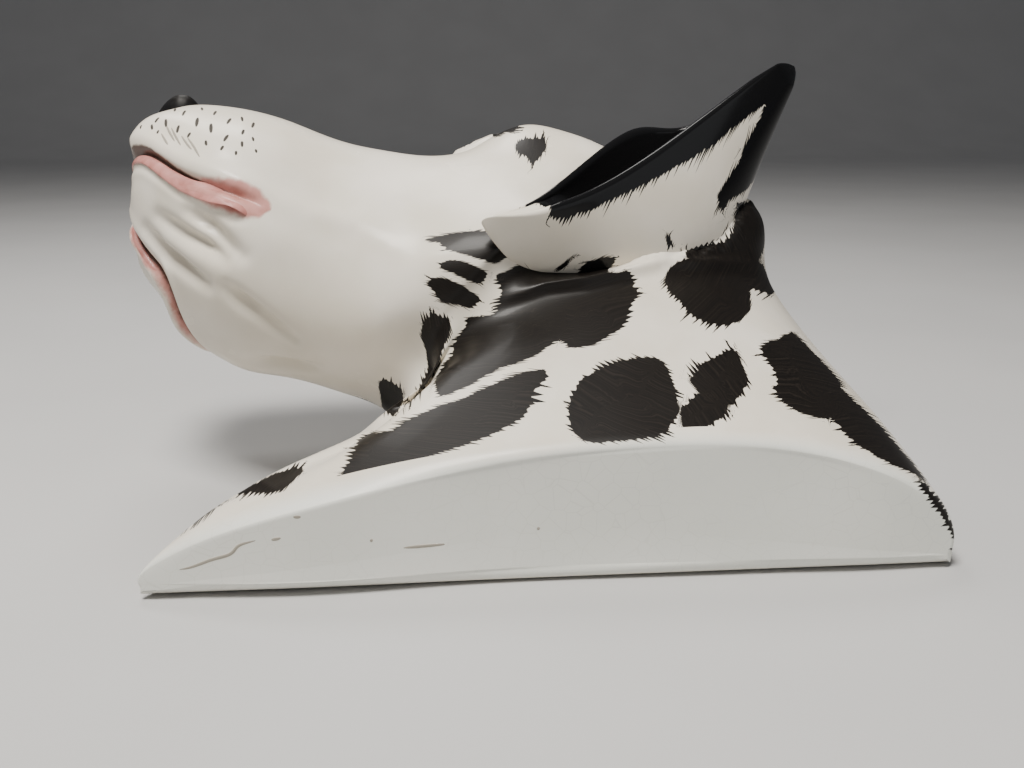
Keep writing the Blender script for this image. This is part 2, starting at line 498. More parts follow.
def natural(values, s):
    """Natural cubic spline through values at 0, 1, 2 ..., read at s. Its second derivatives M solve
    M[i-1] + 4 M[i] + M[i+1] = 6 times the second difference, with zero ends."""
    values = np.asarray(values, float)
    count = len(values)
    middle = np.arange(1, count - 1)
    system = np.eye(count)
    system[middle, middle - 1] = 1
    system[middle, middle] = 4
    system[middle, middle + 1] = 1
    right = np.zeros_like(values)
    right[1:-1] = 6 * (values[2:] - 2 * values[1:-1] + values[:-2])
    bends = np.linalg.solve(system, right.reshape(count, -1)).reshape(values.shape)
    k = np.clip(np.floor(s).astype(int), 0, count - 2)
    b = (s - k).reshape(s.shape + (1,) * (values.ndim - 1))
    a = 1 - b
    return a * values[k] + b * values[k + 1] + ((a**3 - a) * bends[k] + (b**3 - b) * bends[k + 1]) / 6


def row_table():
    """Throat ends, nape ends, outward ways and shape numbers of all the sections."""
    table = [(row[0], row[1], row[2], row[3:]) for row in NECK_ROWS]
    for low_along, depth, high_along, height, share, width, roundness, roll, lift in HEAD_ROWS:
        throat = head_points((low_along, -depth, lift), roll)
        nape = head_points((high_along, height, lift), roll)
        table.append((throat, nape, turned(roll)[1], (share, width, width, *[roundness] * 4)))
    return [np.array(column, float) for column in zip(*table)]


def section_frames(s):
    """Ridge point, throat-to-nape way, outward way, length and shape numbers of the sections at s."""
    throat, nape, outward, numbers = (natural(column, s) for column in row_table())
    across = nape - throat
    length = np.linalg.norm(across, axis=-1)
    way = across / length[:, None]
    out = unit(outward - (outward * way).sum(-1, keepdims=True) * way)
    return throat + numbers[:, 0:1] * across, way, out, length, numbers


def section_curves(s, angles):
    """Superellipse quarters around each section: x = a |cos|^(2/p), y = b |sin|^(2/p), with the quarter's
    own a, b and p."""
    ridge, way, out, length, numbers = section_frames(s)
    share, outer, inner = (numbers[:, k, None] for k in range(3))
    c, d = np.cos(angles)[None], np.sin(angles)[None]
    a = np.where(c >= 0, (1 - share) * length[:, None], share * length[:, None])
    b = np.where(d >= 0, outer, inner)
    outside = np.where(c >= 0, numbers[:, 3:4], numbers[:, 4:5])
    wall_side = np.where(c < 0, numbers[:, 5:6], numbers[:, 6:7])
    power = 2 / np.where(d >= 0, outside, wall_side)
    x = a * np.sign(c) * np.abs(c) ** power
    y = b * np.sign(d) * np.abs(d) ** power
    return ridge[:, None] + way[:, None] * x[..., None] + out[:, None] * y[..., None]


def fine_sections(s):
    """Fine closed curves of the sections at s, the share of the girth at each point, and the girths."""
    curves = section_curves(s, np.linspace(0, 2 * np.pi, CURVE_STEPS + 1))
    steps = np.linalg.norm(np.diff(curves, axis=1), axis=-1)
    girth = steps.sum(1, keepdims=True)
    reach = np.concatenate([np.zeros((len(s), 1)), np.cumsum(steps, 1)], 1)
    return curves, reach / girth, girth


def along_rows(known, values, wanted):
    """Linear interpolation in every row at once: known climbs from 0 to 1, and twice the row number keeps
    rows apart."""
    shift = 2.0 * np.arange(len(known))[:, None]
    flat = [np.interp((wanted + shift).ravel(), (known + shift).ravel(), values[..., k].ravel())
            for k in range(values.shape[-1])]
    return np.stack(flat, -1).reshape(wanted.shape + values.shape[-1:])


def mouth_height(place):
    """Height of the mouth line over the axis at muzzle places: a natural spline through its points, with
    the far lip's drop on the far side."""
    line = natural(MOUTH_LINE, np.linspace(0, len(MOUTH_LINE) - 1, MOUTH_STEPS))
    far = np.clip(-place[..., 2] / FAR_LIP_BLEND, 0, 1)
    drop = np.interp(place[..., 0], FAR_LIP_STATIONS, FAR_LIP_DROP) * far
    return np.interp(place[..., 0], line[:, 0], line[:, 1]) - drop


def skin_columns(s, arcs, curves):
    """Shares of the girth for the grid's columns, and for the mouth: near columns from nape to mouth,
    under columns from mouth to mouth below the jaw, and near columns back. They crowd towards the mouth
    as t (1 + k) - k t^2."""
    place = in_head(curves, MUZZLE_ROLL)
    over = place[..., 1] > mouth_height(place)
    half = curves.shape[1] // 2
    row = np.arange(len(s))
    first = np.argmin(over[:, :half], 1)
    second = half + np.argmax(over[:, half:], 1)
    mouth = np.stack([arcs[row, first], arcs[row, second]], 1)
    start = np.searchsorted(s, FIRST_MOUTH_ROW)
    mouth[start:] = moving_mean(mouth[start:], MOUTH_WINDOW)
    mouth[:start] = mouth[start]
    t = np.arange(NEAR_COLUMNS) / NEAR_COLUMNS
    rise = t * (1 + CROWDING) - CROWDING * t**2
    fall = 1 - ((1 - t) * (1 + CROWDING) - CROWDING * (1 - t) ** 2)
    u = np.arange(UNDER_COLUMNS) / UNDER_COLUMNS
    wave = u - UNDER_CROWDING * np.sin(2 * np.pi * u) / (2 * np.pi)
    a, b = mouth[:, 0:1], mouth[:, 1:2]
    return np.concatenate([a * rise, a + (b - a) * wave, b + (1 - b) * fall], 1), mouth


def grid_normals(points):
    """Normals of a grid of closed rows: cross product of its two central differences, turned to point
    away from each row's middle."""
    down = np.gradient(points, axis=0)
    across = (np.roll(points, -1, 1) - np.roll(points, 1, 1)) / 2
    normals = unit(np.cross(across, down))
    side = (normals * (points - points.mean(1, keepdims=True))).sum(-1)
    return normals if side.mean() > 0 else -normals


def hills(points, forms):
    """Sum of Gaussian hills: height times exp(-|(p - middle) / radii|^2)."""
    total = np.zeros(points.shape[:-1])
    for middle, radii, height in forms:
        total += height * np.exp(-(((points - middle) / radii) ** 2).sum(-1))
    return total


def crease_depth(points, creases, width, depth):
    """Creases as Gaussian valleys over the distance to each chain of places, shallow at both ends."""
    total = np.zeros(points.shape[:-1])
    for chain in creases:
        chain = np.array(chain, float)
        best = np.full(points.shape[:-1], 1e9)
        share = np.zeros(points.shape[:-1])
        for number, (a, b) in enumerate(zip(chain[:-1], chain[1:])):
            t = np.clip(((points - a) @ (b - a)) / ((b - a) @ (b - a)), 0, 1)
            gap = np.linalg.norm(points - (a + t[..., None] * (b - a)), axis=-1)
            share = np.where(gap < best, (number + t) / (len(chain) - 1), share)
            best = np.minimum(gap, best)
        shallow = np.sin(np.pi * (CREASE_ENDS + (1 - 2 * CREASE_ENDS) * share))
        total -= depth * bell(best, 0, width) * shallow
    return total


def smoothed(points, weight, rounds):
    """Grid points drawn towards the mean of their four neighbours, again and again, by a weight."""
    weight = np.clip(weight - LEAST_SMOOTHING, 0, 1)
    rows, columns = (np.flatnonzero((weight > 0).any(axis)) for axis in (1, 0))
    block = (slice(rows[0] - 1, rows[-1] + 2), slice(max(columns[0] - 1, 0), columns[-1] + 2))
    part, share = points[block], weight[block][..., None]
    for _ in range(rounds):
        mean = (np.roll(part, 1, 0) + np.roll(part, -1, 0) + np.roll(part, 1, 1) + np.roll(part, -1, 1)) / 4
        part = part + share * (mean - part)
    points[block] = part
    return points


def ear_swelling(points, ear, height, reach):
    """Skin rising to the ear: height times exp(-gap / reach), gap the distance to the ear's grid."""
    flat = points.reshape(-1, 3)
    margin = EAR_SWELL_MARGIN * reach
    close = ((flat > ear.min((0, 1)) - margin) & (flat < ear.max((0, 1)) + margin)).all(1)
    gap = np.full(close.sum(), 1e9)
    for row in ear[::EAR_SWELL_ROWS, ::EAR_SWELL_COLUMNS]:
        gap = np.minimum(gap, np.linalg.norm(flat[close, None] - row[None], axis=-1).min(1))
    rise = np.zeros(len(flat))
    rise[close] = height * np.exp(-gap / reach)
    return rise.reshape(points.shape[:-1])


def onto_wall(points):
    """Points behind the wall plane are moved onto it, and those next to its edge exactly onto the section's
    crossing."""
    z = points[..., 2:3]
    below = z < 0
    settled = points.copy()
    settled[..., 2:3] = np.where(below, 0.0, z)
    for step in (1, -1):
        other = np.roll(points, step, 1)
        edge = below & (other[..., 2:3] >= 0)
        t = other[..., 2:3] / np.where(edge, other[..., 2:3] - z, 1.0)
        settled = np.where(edge, other + t * (points - other), settled)
    return settled


def behind_plate(points):
    """The flat back is 1 mm deeper behind the back plate, and deep behind its nail hole."""
    flat = points[..., 2] < FLAT_BACK
    gap = np.abs(points[..., :2] - PLATE_FROM_CUT) - PLATE_HALF
    recess = np.clip(PLATE_GAP - gap.max(-1), 0, 1)
    from_hole = np.linalg.norm(points[..., :2] - NAIL_HOLE_FROM_CUT, axis=-1)
    hole = np.clip(NAIL_HOLE_REACH - from_hole, 0, 1)
    points[..., 2] += np.where(flat, recess + NAIL_HOLE_DEPTH * hole, 0.0)
    return points


def pixels(points):
    """Picture position of plaque points, and their distance ahead of the camera."""
    ray = points - CAMERA_PLACE
    depth = ray @ CAMERA_AHEAD
    x = PICTURE[0] / 2 + FOCAL_PIXELS * (ray @ CAMERA_RIGHT) / depth
    y = PICTURE[1] / 2 - FOCAL_PIXELS * (ray @ CAMERA_UP) / depth
    return np.stack([x, y], -1), depth


def facing_camera(points, normals):
    """Cosine of the angle between the skin's outward way and the way to the camera."""
    return (normals * unit(CAMERA_PLACE - points)).sum(-1)


def closed_curve(points, parts=5):
    """Closed Catmull-Rom curve through points, with each span cut into parts."""
    p = np.asarray(points, float)
    a, b, c, d = (np.roll(p, k, 0)[:, None] for k in (1, 0, -1, -2))
    t = (np.arange(parts) / parts)[None, :, None]
    curve = 0.5 * (2 * b + (c - a) * t + (2 * a - 5 * b + 4 * c - d) * t**2 + (3 * b - a - 3 * c + d) * t**3)
    return curve.reshape(-1, 2)


def outline_field(places, outline, hair):
    """Distance to a closed outline, positive inside, the lane of the brush stroke there and its reach
    across the edge. Inside is where a level ray crosses an odd number of sides. A stroke runs the hair's
    way, or backwards, out of the patch: with n the outward and w the edge's own way, lane = length along
    the edge + (hair.w / hair.n) distance."""
    best = np.full(len(places), 1e9)
    along = np.zeros(len(places))
    slant = np.zeros(len(places))
    lean = np.ones(len(places))
    inside = np.zeros(len(places), bool)
    after = np.roll(outline, -1, 0)
    winding = np.sign((outline[:, 0] * after[:, 1] - after[:, 0] * outline[:, 1]).sum())
    reach = 0.0
    for a, b in zip(outline, after):
        side = b - a
        length = max(np.hypot(*side), 1e-9)
        t = np.clip(((places - a) @ side) / length**2, 0, 1)
        gap = np.linalg.norm(places - a - t[:, None] * side, axis=1)
        nearer = gap < best
        across = winding * (hair[0] * side[1] - hair[1] * side[0]) / length
        steep = max(abs(across), STROKE_LEAN)
        best = np.where(nearer, gap, best)
        along = np.where(nearer, reach + t * length, along)
        slant = np.where(nearer, np.copysign(hair @ side / length / steep, (hair @ side) * across), slant)
        lean = np.where(nearer, steep, lean)
        spans = (a[1] > places[:, 1]) != (b[1] > places[:, 1])
        crossing = a[0] + (places[:, 1] - a[1]) * side[0] / (side[1] if side[1] else 1e-9)
        inside ^= spans & (places[:, 0] < crossing)
        reach += length
    distance = np.where(inside, best, -best)
    return distance, along + slant * distance, lean


def picture_patches(points, normals, patches):
    """Patch distance and stroke lane in millimetres, and stroke reach, of grid points, from outlines in
    the picture. Past the silhouette a patch goes on, mirrored, and closes as the skin turns away."""
    place, depth = pixels(points)
    flat, scale = place.reshape(-1, 2), (depth / FOCAL_PIXELS).ravel()
    facing = facing_camera(points, normals).ravel()
    distance = np.full(len(flat), FAR_OUTSIDE)
    lane = np.zeros(len(flat))
    stroke = np.ones(len(flat))
    for number, (degrees, outline) in enumerate(patches):
        curve = closed_curve(outline)
        hair = np.array([np.cos(np.radians(degrees)), np.sin(np.radians(degrees))])
        near = (flat > curve.min(0) - PATCH_MARGIN) & (flat < curve.max(0) + PATCH_MARGIN)
        near = near.all(1) & (facing > LEAST_FACING)
        gap, track, lean = outline_field(flat[near], curve, hair)
        gap = gap * scale[near] + SILHOUETTE_FADE * np.minimum(facing[near] + FADE_START, 0)
        taken = gap > distance[near]
        index = np.flatnonzero(near)[taken]
        distance[index] = gap[taken]
        lane[index] = track[taken] * scale[index] + PATCH_LANES * number
        turning = STROKE_FACING[0] + STROKE_FACING[1] * facing[index]
        stroke[index] = lean[taken] * np.clip(turning, LEAST_STROKE, 1.0)
    return [field.reshape(depth.shape) for field in (distance, lane, stroke)]


def blob_patches(points, blobs):
    """Rounded patches: (1 - |q|) times the smallest radius, q the place over the radii, with a wavy
    outline. The stroke lane is the angle about the patch times that radius, slanted by the distance."""
    distance = np.full(points.shape[:-1], FAR_OUTSIDE)
    lane = np.zeros(points.shape[:-1])
    for number, (middle, radii) in enumerate(blobs):
        q = (points - middle) / radii
        angle = np.arctan2(q[..., 1], q[..., 0])
        wobble = sum(part * np.sin(beat * angle + shift * number) for part, beat, shift in BLOB_WAVES)
        gap = (1 + wobble - np.linalg.norm(q, axis=-1)) * min(radii)
        taken = gap > distance
        distance = np.where(taken, gap, distance)
        lane = np.where(taken, angle * min(radii) + BLOB_SLANT * gap + BLOB_LANES * number, lane)
    return distance, lane


def coat_paint(patch, lane, reach, **others):
    """Values that the coat's material reads; those that aren't given are at nothing."""
    nothing = np.zeros_like(patch)
    paint = {"patch": patch, "lane": lane, "reach": reach, "pink": nothing + FAR_OUTSIDE,
             "mouth": nothing - FAR_OUTSIDE, "cut": nothing, "gloss": nothing}
    return {**paint, **others}


def end_ways(rows):
    """Outward ways at both ends of a tube's rows of points."""
    middles = rows.mean(1)
    return unit(middles[[0, -1]] - middles[[1, -2]])


class Piece:
    """Numpy arrays of one mesh: points in plaque millimetres, normals, faces and painted attributes."""

    def __init__(self, points, normals, paint=None):
        self.points = points.reshape(-1, 3)
        self.normals = normals.reshape(-1, 3)
        self.paint = {name: values.ravel() for name, values in (paint or {}).items()}
        self.quads = []
        self.triangles = []

    def add_grid(self, index, closed):
        """Quads between the rows and columns of an index grid."""
        right = np.roll(index, -1, 1)
        keep = slice(None) if closed else slice(0, -1)
        a, b, c, d = index[:-1, keep], right[:-1, keep], right[1:, keep], index[1:, keep]
        self.quads.append(np.stack([a, b, c, d], -1).reshape(-1, 4))

    def add_point(self, point, normal, like):
        """One more point, painted as the points it is like, and its index."""
        self.points = np.vstack([self.points, point])
        self.normals = np.vstack([self.normals, normal])
        self.paint = {name: np.append(values, values[like].mean()) for name, values in self.paint.items()}
        return len(self.points) - 1

    def fan(self, strip, apex):
        """Triangles from each step of a strip of points to one point."""
        self.triangles.append(np.stack([strip[:-1], strip[1:], np.full(len(strip) - 1, apex)], -1))

    def close(self, loop, apex, normal):
        """Fan from a closed loop of points to a new point."""
        self.fan(np.append(loop, loop[0]), self.add_point(apex, normal, loop))

    def add_tube(self, index, ends):
        """Closed rows of an index grid, closed at both ends; ends are the outward ways there."""
        self.add_grid(index, True)
        for row, way in zip((index[0], index[-1]), ends):
            self.close(row, self.points[row].mean(0), way)

    def build(self, name, material, slot, *nodes):
        """Mesh object at the origin, with outward faces, smooth normals, its paint, its body and the
        nodes it stands for."""
        quads = np.concatenate(self.quads)
        triangles = np.concatenate(self.triangles)
        used, place = np.unique(np.concatenate([quads.ravel(), triangles.ravel()]), return_inverse=True)
        faces = place[:quads.size].reshape(-1, 4).tolist() + place[quads.size:].reshape(-1, 3).tolist()
        mesh = bpy.data.meshes.new(name)
        mesh.from_pydata(to_metres(self.points[used]), [], faces)
        shape = bmesh.new()
        shape.from_mesh(mesh)
        bmesh.ops.recalc_face_normals(shape, faces=shape.faces)
        if shape.calc_volume(signed=True) < 0:
            bmesh.ops.reverse_faces(shape, faces=shape.faces)
        shape.to_mesh(mesh)
        shape.free()
        for title, values in self.paint.items():
            layer = mesh.attributes.new(title, "FLOAT", "POINT")
            layer.data.foreach_set("value", values[used].astype(np.float32))
        mesh.polygons.foreach_set("use_smooth", np.ones(len(mesh.polygons), bool))
        mesh.normals_split_custom_set_from_vertices(unit(self.normals[used]))
        mesh.materials.append(material)
        piece = bpy.data.objects.new(name, mesh)
        bpy.context.scene.collection.objects.link(piece)
        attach(piece, "root")
        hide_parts(*nodes)
        return piece


def tube_piece(points, normals, ends, paint=None):
    """Piece of one grid of closed rows with closed ends."""
    piece = Piece(points, normals, paint)
    piece.add_tube(np.arange(len(piece.points)).reshape(points.shape[:2]), ends)
    return piece


def tubes_piece(tubes, normals, paint=None):
    """Piece of several such grids."""
    flat = (np.concatenate([field.reshape(-1, 3) for field in fields]) for fields in (tubes, normals))
    piece = Piece(*flat, paint)
    start = 0
    for tube in tubes:
        index = start + np.arange(tube[..., 0].size).reshape(tube.shape[:2])
        start += index.size
        piece.add_tube(index, end_ways(tube))
    return piece


def row_stations():
    """Row numbers of the grid: even steps on the neck, and steps of even length of the ridge on the head,
    crowding towards the muzzle's tip."""
    fine = np.linspace(SEAM_ROW, len(NECK_ROWS) + len(HEAD_ROWS) - 1, STATION_STEPS)
    ridge, _, _, _, numbers = section_frames(fine)
    step = np.linalg.norm(np.diff(ridge, axis=0), axis=1) + TIP_CROWDING * np.abs(np.diff(numbers[:, 1]))
    reach = np.concatenate([[0], np.cumsum(step)])
    head = np.interp(np.linspace(0, reach[-1], HEAD_GRID_ROWS), reach, fine)
    return np.concatenate([np.linspace(WALL_JOINT, SEAM_ROW, NECK_GRID_ROWS)[:-1], head])


class SkinGrid:
    """Bare skin: rows from the end wall to the muzzle's tip, and columns round it that keep to the mouth
    line. The tip's rows shrink to a point and bulge as a flat dome."""

    def __init__(self):
        s = row_stations()
        curves, arcs, girth = fine_sections(s)
        shares, mouth = skin_columns(s, arcs, curves)
        points = along_rows(arcs, curves, shares)
        inward = np.linspace(1, 0, TIP_ROWS + 2)[1:-1, None, None]
        middle = points[-1].mean(0)
        bulge = HEAD_AXIS * TIP_RISE * np.sqrt(1 - TIP_ROUNDNESS * inward**2)
        self.points = np.concatenate([points, middle + (points[-1] - middle) * inward + bulge])
        self.normals = grid_normals(self.points)
        self.s = np.append(s, np.full(TIP_ROWS, s[-1]))
        self.girth = np.concatenate([girth, girth[-1] * inward[:, 0]])
        self.shares = np.concatenate([shares, np.repeat(shares[-1:], TIP_ROWS, 0)])
        self.mouth = np.concatenate([mouth, np.repeat(mouth[-1:], TIP_ROWS, 0)])
        below = np.minimum(self.shares - self.mouth[:, :1], self.mouth[:, 1:] - self.shares)
        self.below = below * self.girth
        self.near_side = self.shares < self.mouth.mean(1, keepdims=True)
        self.on_head = linear_step(self.s[:, None], *HEAD_START)


def lid_height(points):
    """Ring of the eyelids round each eye, with the socket exp(-(r / radius)^4) in it."""
    height = np.zeros(points.shape[:-1])
    for place, out, along in eye_places():
        gap = points - place
        rise, forward = gap @ out, gap @ along
        sideways = np.linalg.norm(gap - rise[..., None] * out - forward[..., None] * along, axis=-1)
        ring = np.hypot(forward / EYE_LONG, sideways * EYE_NARROW)
        lid = ridges(ring, LID_RING) - SOCKET_DEPTH * np.exp(-((ring / SOCKET_RADIUS) ** 4))
        height += np.where(np.abs(rise) < EYE_REACH, lid, 0)
    return height


def skin_height(grid, mouth_depth, crease):
    """Relief over the bare skin in millimetres: hills, creases, swollen lips with the line between, and
    eyelids."""
    points, below = grid.points, grid.below
    head = in_head(points)
    height = hills(head, HEAD_FORMS) + hills(in_head(points, MUZZLE_ROLL), MUZZLE_FORMS)
    height += crease_depth(head, CHIN_CREASES, CHIN_CREASE_WIDTH, crease)
    for side in (head, in_head(mirrored(points, MUZZLE_ROLL))):
        height += crease_depth(side, CHEEK_RIDGE, *CHEEK_RIDGE_FORM)
    height = height * grid.on_head + hills(points, NECK_FORMS) + lid_height(points)
    for creases, width, depth in NECK_CREASES:
        height += crease_depth(points, creases, width, depth)
    opening = smooth_step(grid.s[:, None], MOUTH_CORNER_ROW, MOUTH_CORNER_ROW + MOUTH_OPENING)
    under_pink = below - np.interp(grid.s, LIP_ROWS, NEAR_LIP_UNDER)[:, None]
    lips = np.where(grid.near_side, ridges(under_pink, NEAR_LIP_LEDGE), ridges(below, FAR_LIP_STEP))
    lips += ridges(below, LIP_SWELLS) - mouth_depth * bell(below, 0, MOUTH_LINE_WIDTH)
    return height + opening * lips


def blunt_tip(grid, points):
    """Front of the muzzle smoothed, apart from the mouth line, with the last two rows drawn evenly to the
    pole."""
    weight = linear_step(grid.s[:, None], *BLUNT_ROWS) * (1 - bell(grid.below, 0, BLUNT_MOUTH))
    weight[-2:] = 0
    points = smoothed(points, weight, BLUNT_ROUNDS)
    centre = points[-3].mean(0)
    points[-2:] = centre + (points[-3] - centre) * np.array([2 / 3, 1 / 3])[:, None, None]
    return points


def lip_widths(s):
    """Widths of the lips and of the line between them at the rows s."""
    tables = (NEAR_LIP_UNDER, NEAR_LIP_OVER, FAR_LIP_OVER, NEAR_LINE, FAR_LINE)
    return [np.interp(s, LIP_ROWS, widths)[:, None] for widths in tables]


def skin_paint(grid, points, normals):
    """Paint of the finished skin: patches seen in the picture, hidden ones, pink lips and the line
    between them."""
    patch, lane, reach = picture_patches(points, normals, NECK_PATCHES.values())
    fade = SILHOUETTE_FADE * np.maximum(facing_camera(points, normals) + HIDDEN_START, 0)
    head_patch, head_lane = blob_patches(in_head(points), HIDDEN_HEAD_PATCHES)
    head_patch = np.where(grid.on_head > 0.5, head_patch, FAR_OUTSIDE)
    for hidden, hidden_lane in ((head_patch, head_lane), blob_patches(points, HIDDEN_NECK_PATCHES)):
        taken = hidden - fade > patch
        lane = np.where(taken, hidden_lane, lane)
        reach = np.where(taken, HIDDEN_STROKES, reach)
        patch = np.where(taken, hidden - fade, patch)
    below = grid.below
    under, over, far_over, near_line, far_line = lip_widths(grid.s)
    near_pink = np.minimum(below + over, under - below)
    far_pink = np.minimum(FAR_LIP_LAP - below, far_over + below)
    pink = np.where(grid.near_side, near_pink, far_pink)
    pink = np.where(grid.s[:, None] > LIP_ROWS[0], pink, FAR_OUTSIDE)
    line = np.abs(below) - np.where(grid.near_side, near_line, far_line)
    return coat_paint(patch, lane, reach, pink=pink, mouth=line)


def lip_paths(grid, points, normals):
    """Middle line, outward ways and half widths of the near and the far lip."""
    under, over, far_over = lip_widths(grid.s)[:3]
    rows = slice(int(np.searchsorted(grid.s, LIP_ROWS[1])), len(grid.s) - TIP_ROWS)
    near_share = grid.mouth[:, :1] + 0.5 * (under - over) / grid.girth
    far_share = grid.mouth[:, 1:] + 0.5 * far_over / grid.girth
    paths = []
    for share, width in ((near_share, under + over), (far_share, far_over)):
        path, out = (along_rows(grid.shares, field, share)[rows, 0] for field in (points, normals))
        paths.append((path, out, 0.5 * width[rows]))
    return paths


@functools.lru_cache(maxsize=1)
def plaque_skin(mouth_depth, crease, ear_wall):
    """The whole painted skin as one grid: row numbers, points, outward ways, paint, and the paths of the
    lips."""
    grid = SkinGrid()
    height = skin_height(grid, mouth_depth, crease)
    bend = -crease_depth(grid.points, CHEEK_BEND, CHEEK_BEND_WIDTH, 1.0)
    points = smoothed(grid.points + grid.normals * height[..., None], bend, CHEEK_BEND_ROUNDS)
    points = blunt_tip(grid, points)
    rise = ear_swelling(points, ear_surface(ear_wall)[0], EAR_SWELL, EAR_SWELL_REACH)
    rise = rise * linear_step(points[..., 0], *EAR_SWELL_START)
    points = behind_plate(onto_wall(points + grid.normals * rise[..., None]))
    normals = grid_normals(points)
    return grid.s, points, normals, skin_paint(grid, points, normals), lip_paths(grid, points, normals)


def eye_places():
    """Middle of each eyeball's skin spot, the way out of the skin there, and the way along the head."""
    angles = np.radians(EYE_ANGLE) * np.array([1.0, -1.0])
    row = np.array([EYE_ROW])
    here = section_curves(row, angles)[0]
    ahead = section_curves(row, angles + SMALL_STEP)[0] - section_curves(row, angles - SMALL_STEP)[0]
    forth = section_curves(row + SMALL_STEP, angles)[0] - section_curves(row - SMALL_STEP, angles)[0]
    out = unit(np.cross(forth, ahead))
    out = np.where((out @ CROWN_SIDE)[:, None] > 0, out, -out)
    along = unit(forth - (forth * out).sum(-1, keepdims=True) * out)
    return list(zip(here, out, along))


class Glaze:
    """Node material on object coordinates, with short ways to add its steps."""

    def __init__(self, name):
        self.material = bpy.data.materials.new(name)
        self.material.use_nodes = True
        self.tree = self.material.node_tree
        self.shader = next(node for node in self.tree.nodes if node.type == "BSDF_PRINCIPLED")
        self.place = self.add("ShaderNodeTexCoord").outputs["Object"]

    def feed(self, socket, value):
        """Links a socket, or sets it to a value."""
        if isinstance(value, bpy.types.NodeSocket):
            self.tree.links.new(value, socket)
        else:
            socket.default_value = value

    def add(self, kind, inputs=None, **settings):
        """New node with its settings and its fed inputs."""
        made = self.tree.nodes.new(kind)
        for name, value in settings.items():
            setattr(made, name, value)
        for socket, value in (inputs or {}).items():
            self.feed(made.inputs[socket], value)
        return made

    def dress(self, inputs):
        """Feeds the surface shader and gives the material."""
        for socket, value in inputs.items():
            self.feed(self.shader.inputs[socket], value)
        return self.material

    def maths(self, operation, a, b=0.0, c=0.0, clamp=False):
        """Result of one arithmetic step."""
        values = {0: a, 1: b, 2: c}
        return self.add("ShaderNodeMath", values, operation=operation, use_clamp=clamp).outputs[0]

    def plus(self, a, b):
        """Sum of two values."""
        return self.maths("ADD", a, b)

    def times(self, a, b):
        """Product of two values."""
        return self.maths("MULTIPLY", a, b)

    def scaled(self, value, factor, start):
        """Value times a factor, plus a start."""
        return self.maths("MULTIPLY_ADD", value, factor, start)

    def ramp(self, value, low, high, to_low=0.0, to_high=1.0):
        """Smooth step of a value from low to high."""
        inputs = {0: value, 1: low, 2: high, 3: to_low, 4: to_high}
        return self.add("ShaderNodeMapRange", inputs, interpolation_type="SMOOTHSTEP").outputs[0]

    def mixed(self, share, a, b):
        """Colour a turning into colour b."""
        return self.add("ShaderNodeMix", {0: share, 6: a, 7: b}, data_type="RGBA").outputs[2]

    def between(self, value, low, high, a, b):
        """Colour a turning into colour b as a value climbs from low to high."""
        return self.mixed(self.ramp(value, low, high), a, b)

    def attribute(self, name):
        """Painted value of the surface."""
        return self.add("ShaderNodeAttribute", attribute_name=name).outputs["Fac"]

    def noise(self, scale, detail=2.0):
        """Noise value at the surface's place."""
        inputs = {"Vector": self.place, "Scale": scale, "Detail": detail}
        return self.add("ShaderNodeTexNoise", inputs).outputs[0]

    def streaks(self, beat, detail):
        """Noise value along one line."""
        inputs = {"W": beat, "Scale": 1.0, "Detail": detail}
        return self.add("ShaderNodeTexNoise", inputs, noise_dimensions="1D").outputs[0]

    def cells(self, scale, feature):
        """Distance in a pattern of cells at the surface's place."""
        inputs = {"Vector": self.place, "Scale": scale}
        return self.add("ShaderNodeTexVoronoi", inputs, feature=feature).outputs["Distance"]

    def bump(self, strength, distance, height):
        """Normal bent by a height."""
        inputs = {"Strength": strength, "Distance": distance, "Height": height}
        return self.add("ShaderNodeBump", inputs).outputs[0]


def rgba(colour):
    """Colour with full alpha."""
    return (*colour, 1.0)


def brushed_edge(glaze, lane):
    """Share of patch paint. A hair of a patch's edge is a spike 1 - 2d over the distance d to the nearest
    of the lanes, times its own chance of length."""
    sizes = bpy.context.scene.plaque_sizes
    inputs = {"W": glaze.times(lane, MM / sizes.stroke_width), "Scale": 1.0, "Randomness": 0.85}
    hairs = glaze.add("ShaderNodeTexVoronoi", inputs, voronoi_dimensions="1D").outputs
    chance = glaze.add("ShaderNodeSeparateColor", {0: hairs["Color"]}).outputs[0]
    spike = glaze.maths("MULTIPLY_ADD", hairs["Distance"], -2.0, 1.0, clamp=True)
    spike = glaze.times(spike, glaze.scaled(glaze.maths("POWER", chance, 1.7), 0.85, 0.15))
    slow = glaze.streaks(glaze.times(lane, 0.06), 1.0)
    length = glaze.times(glaze.ramp(slow, 0.3, 0.7, 0.45, 1.0), sizes.stroke_length / MM)
    length = glaze.times(length, glaze.attribute("reach"))
    strokes = glaze.times(glaze.maths("SUBTRACT", spike, 0.09), length)
    wander = glaze.scaled(glaze.noise(120.0), 1.6, -0.8)
    edge = glaze.plus(glaze.plus(glaze.attribute("patch"), strokes), wander)
    return glaze.ramp(edge, -0.18, 0.22)


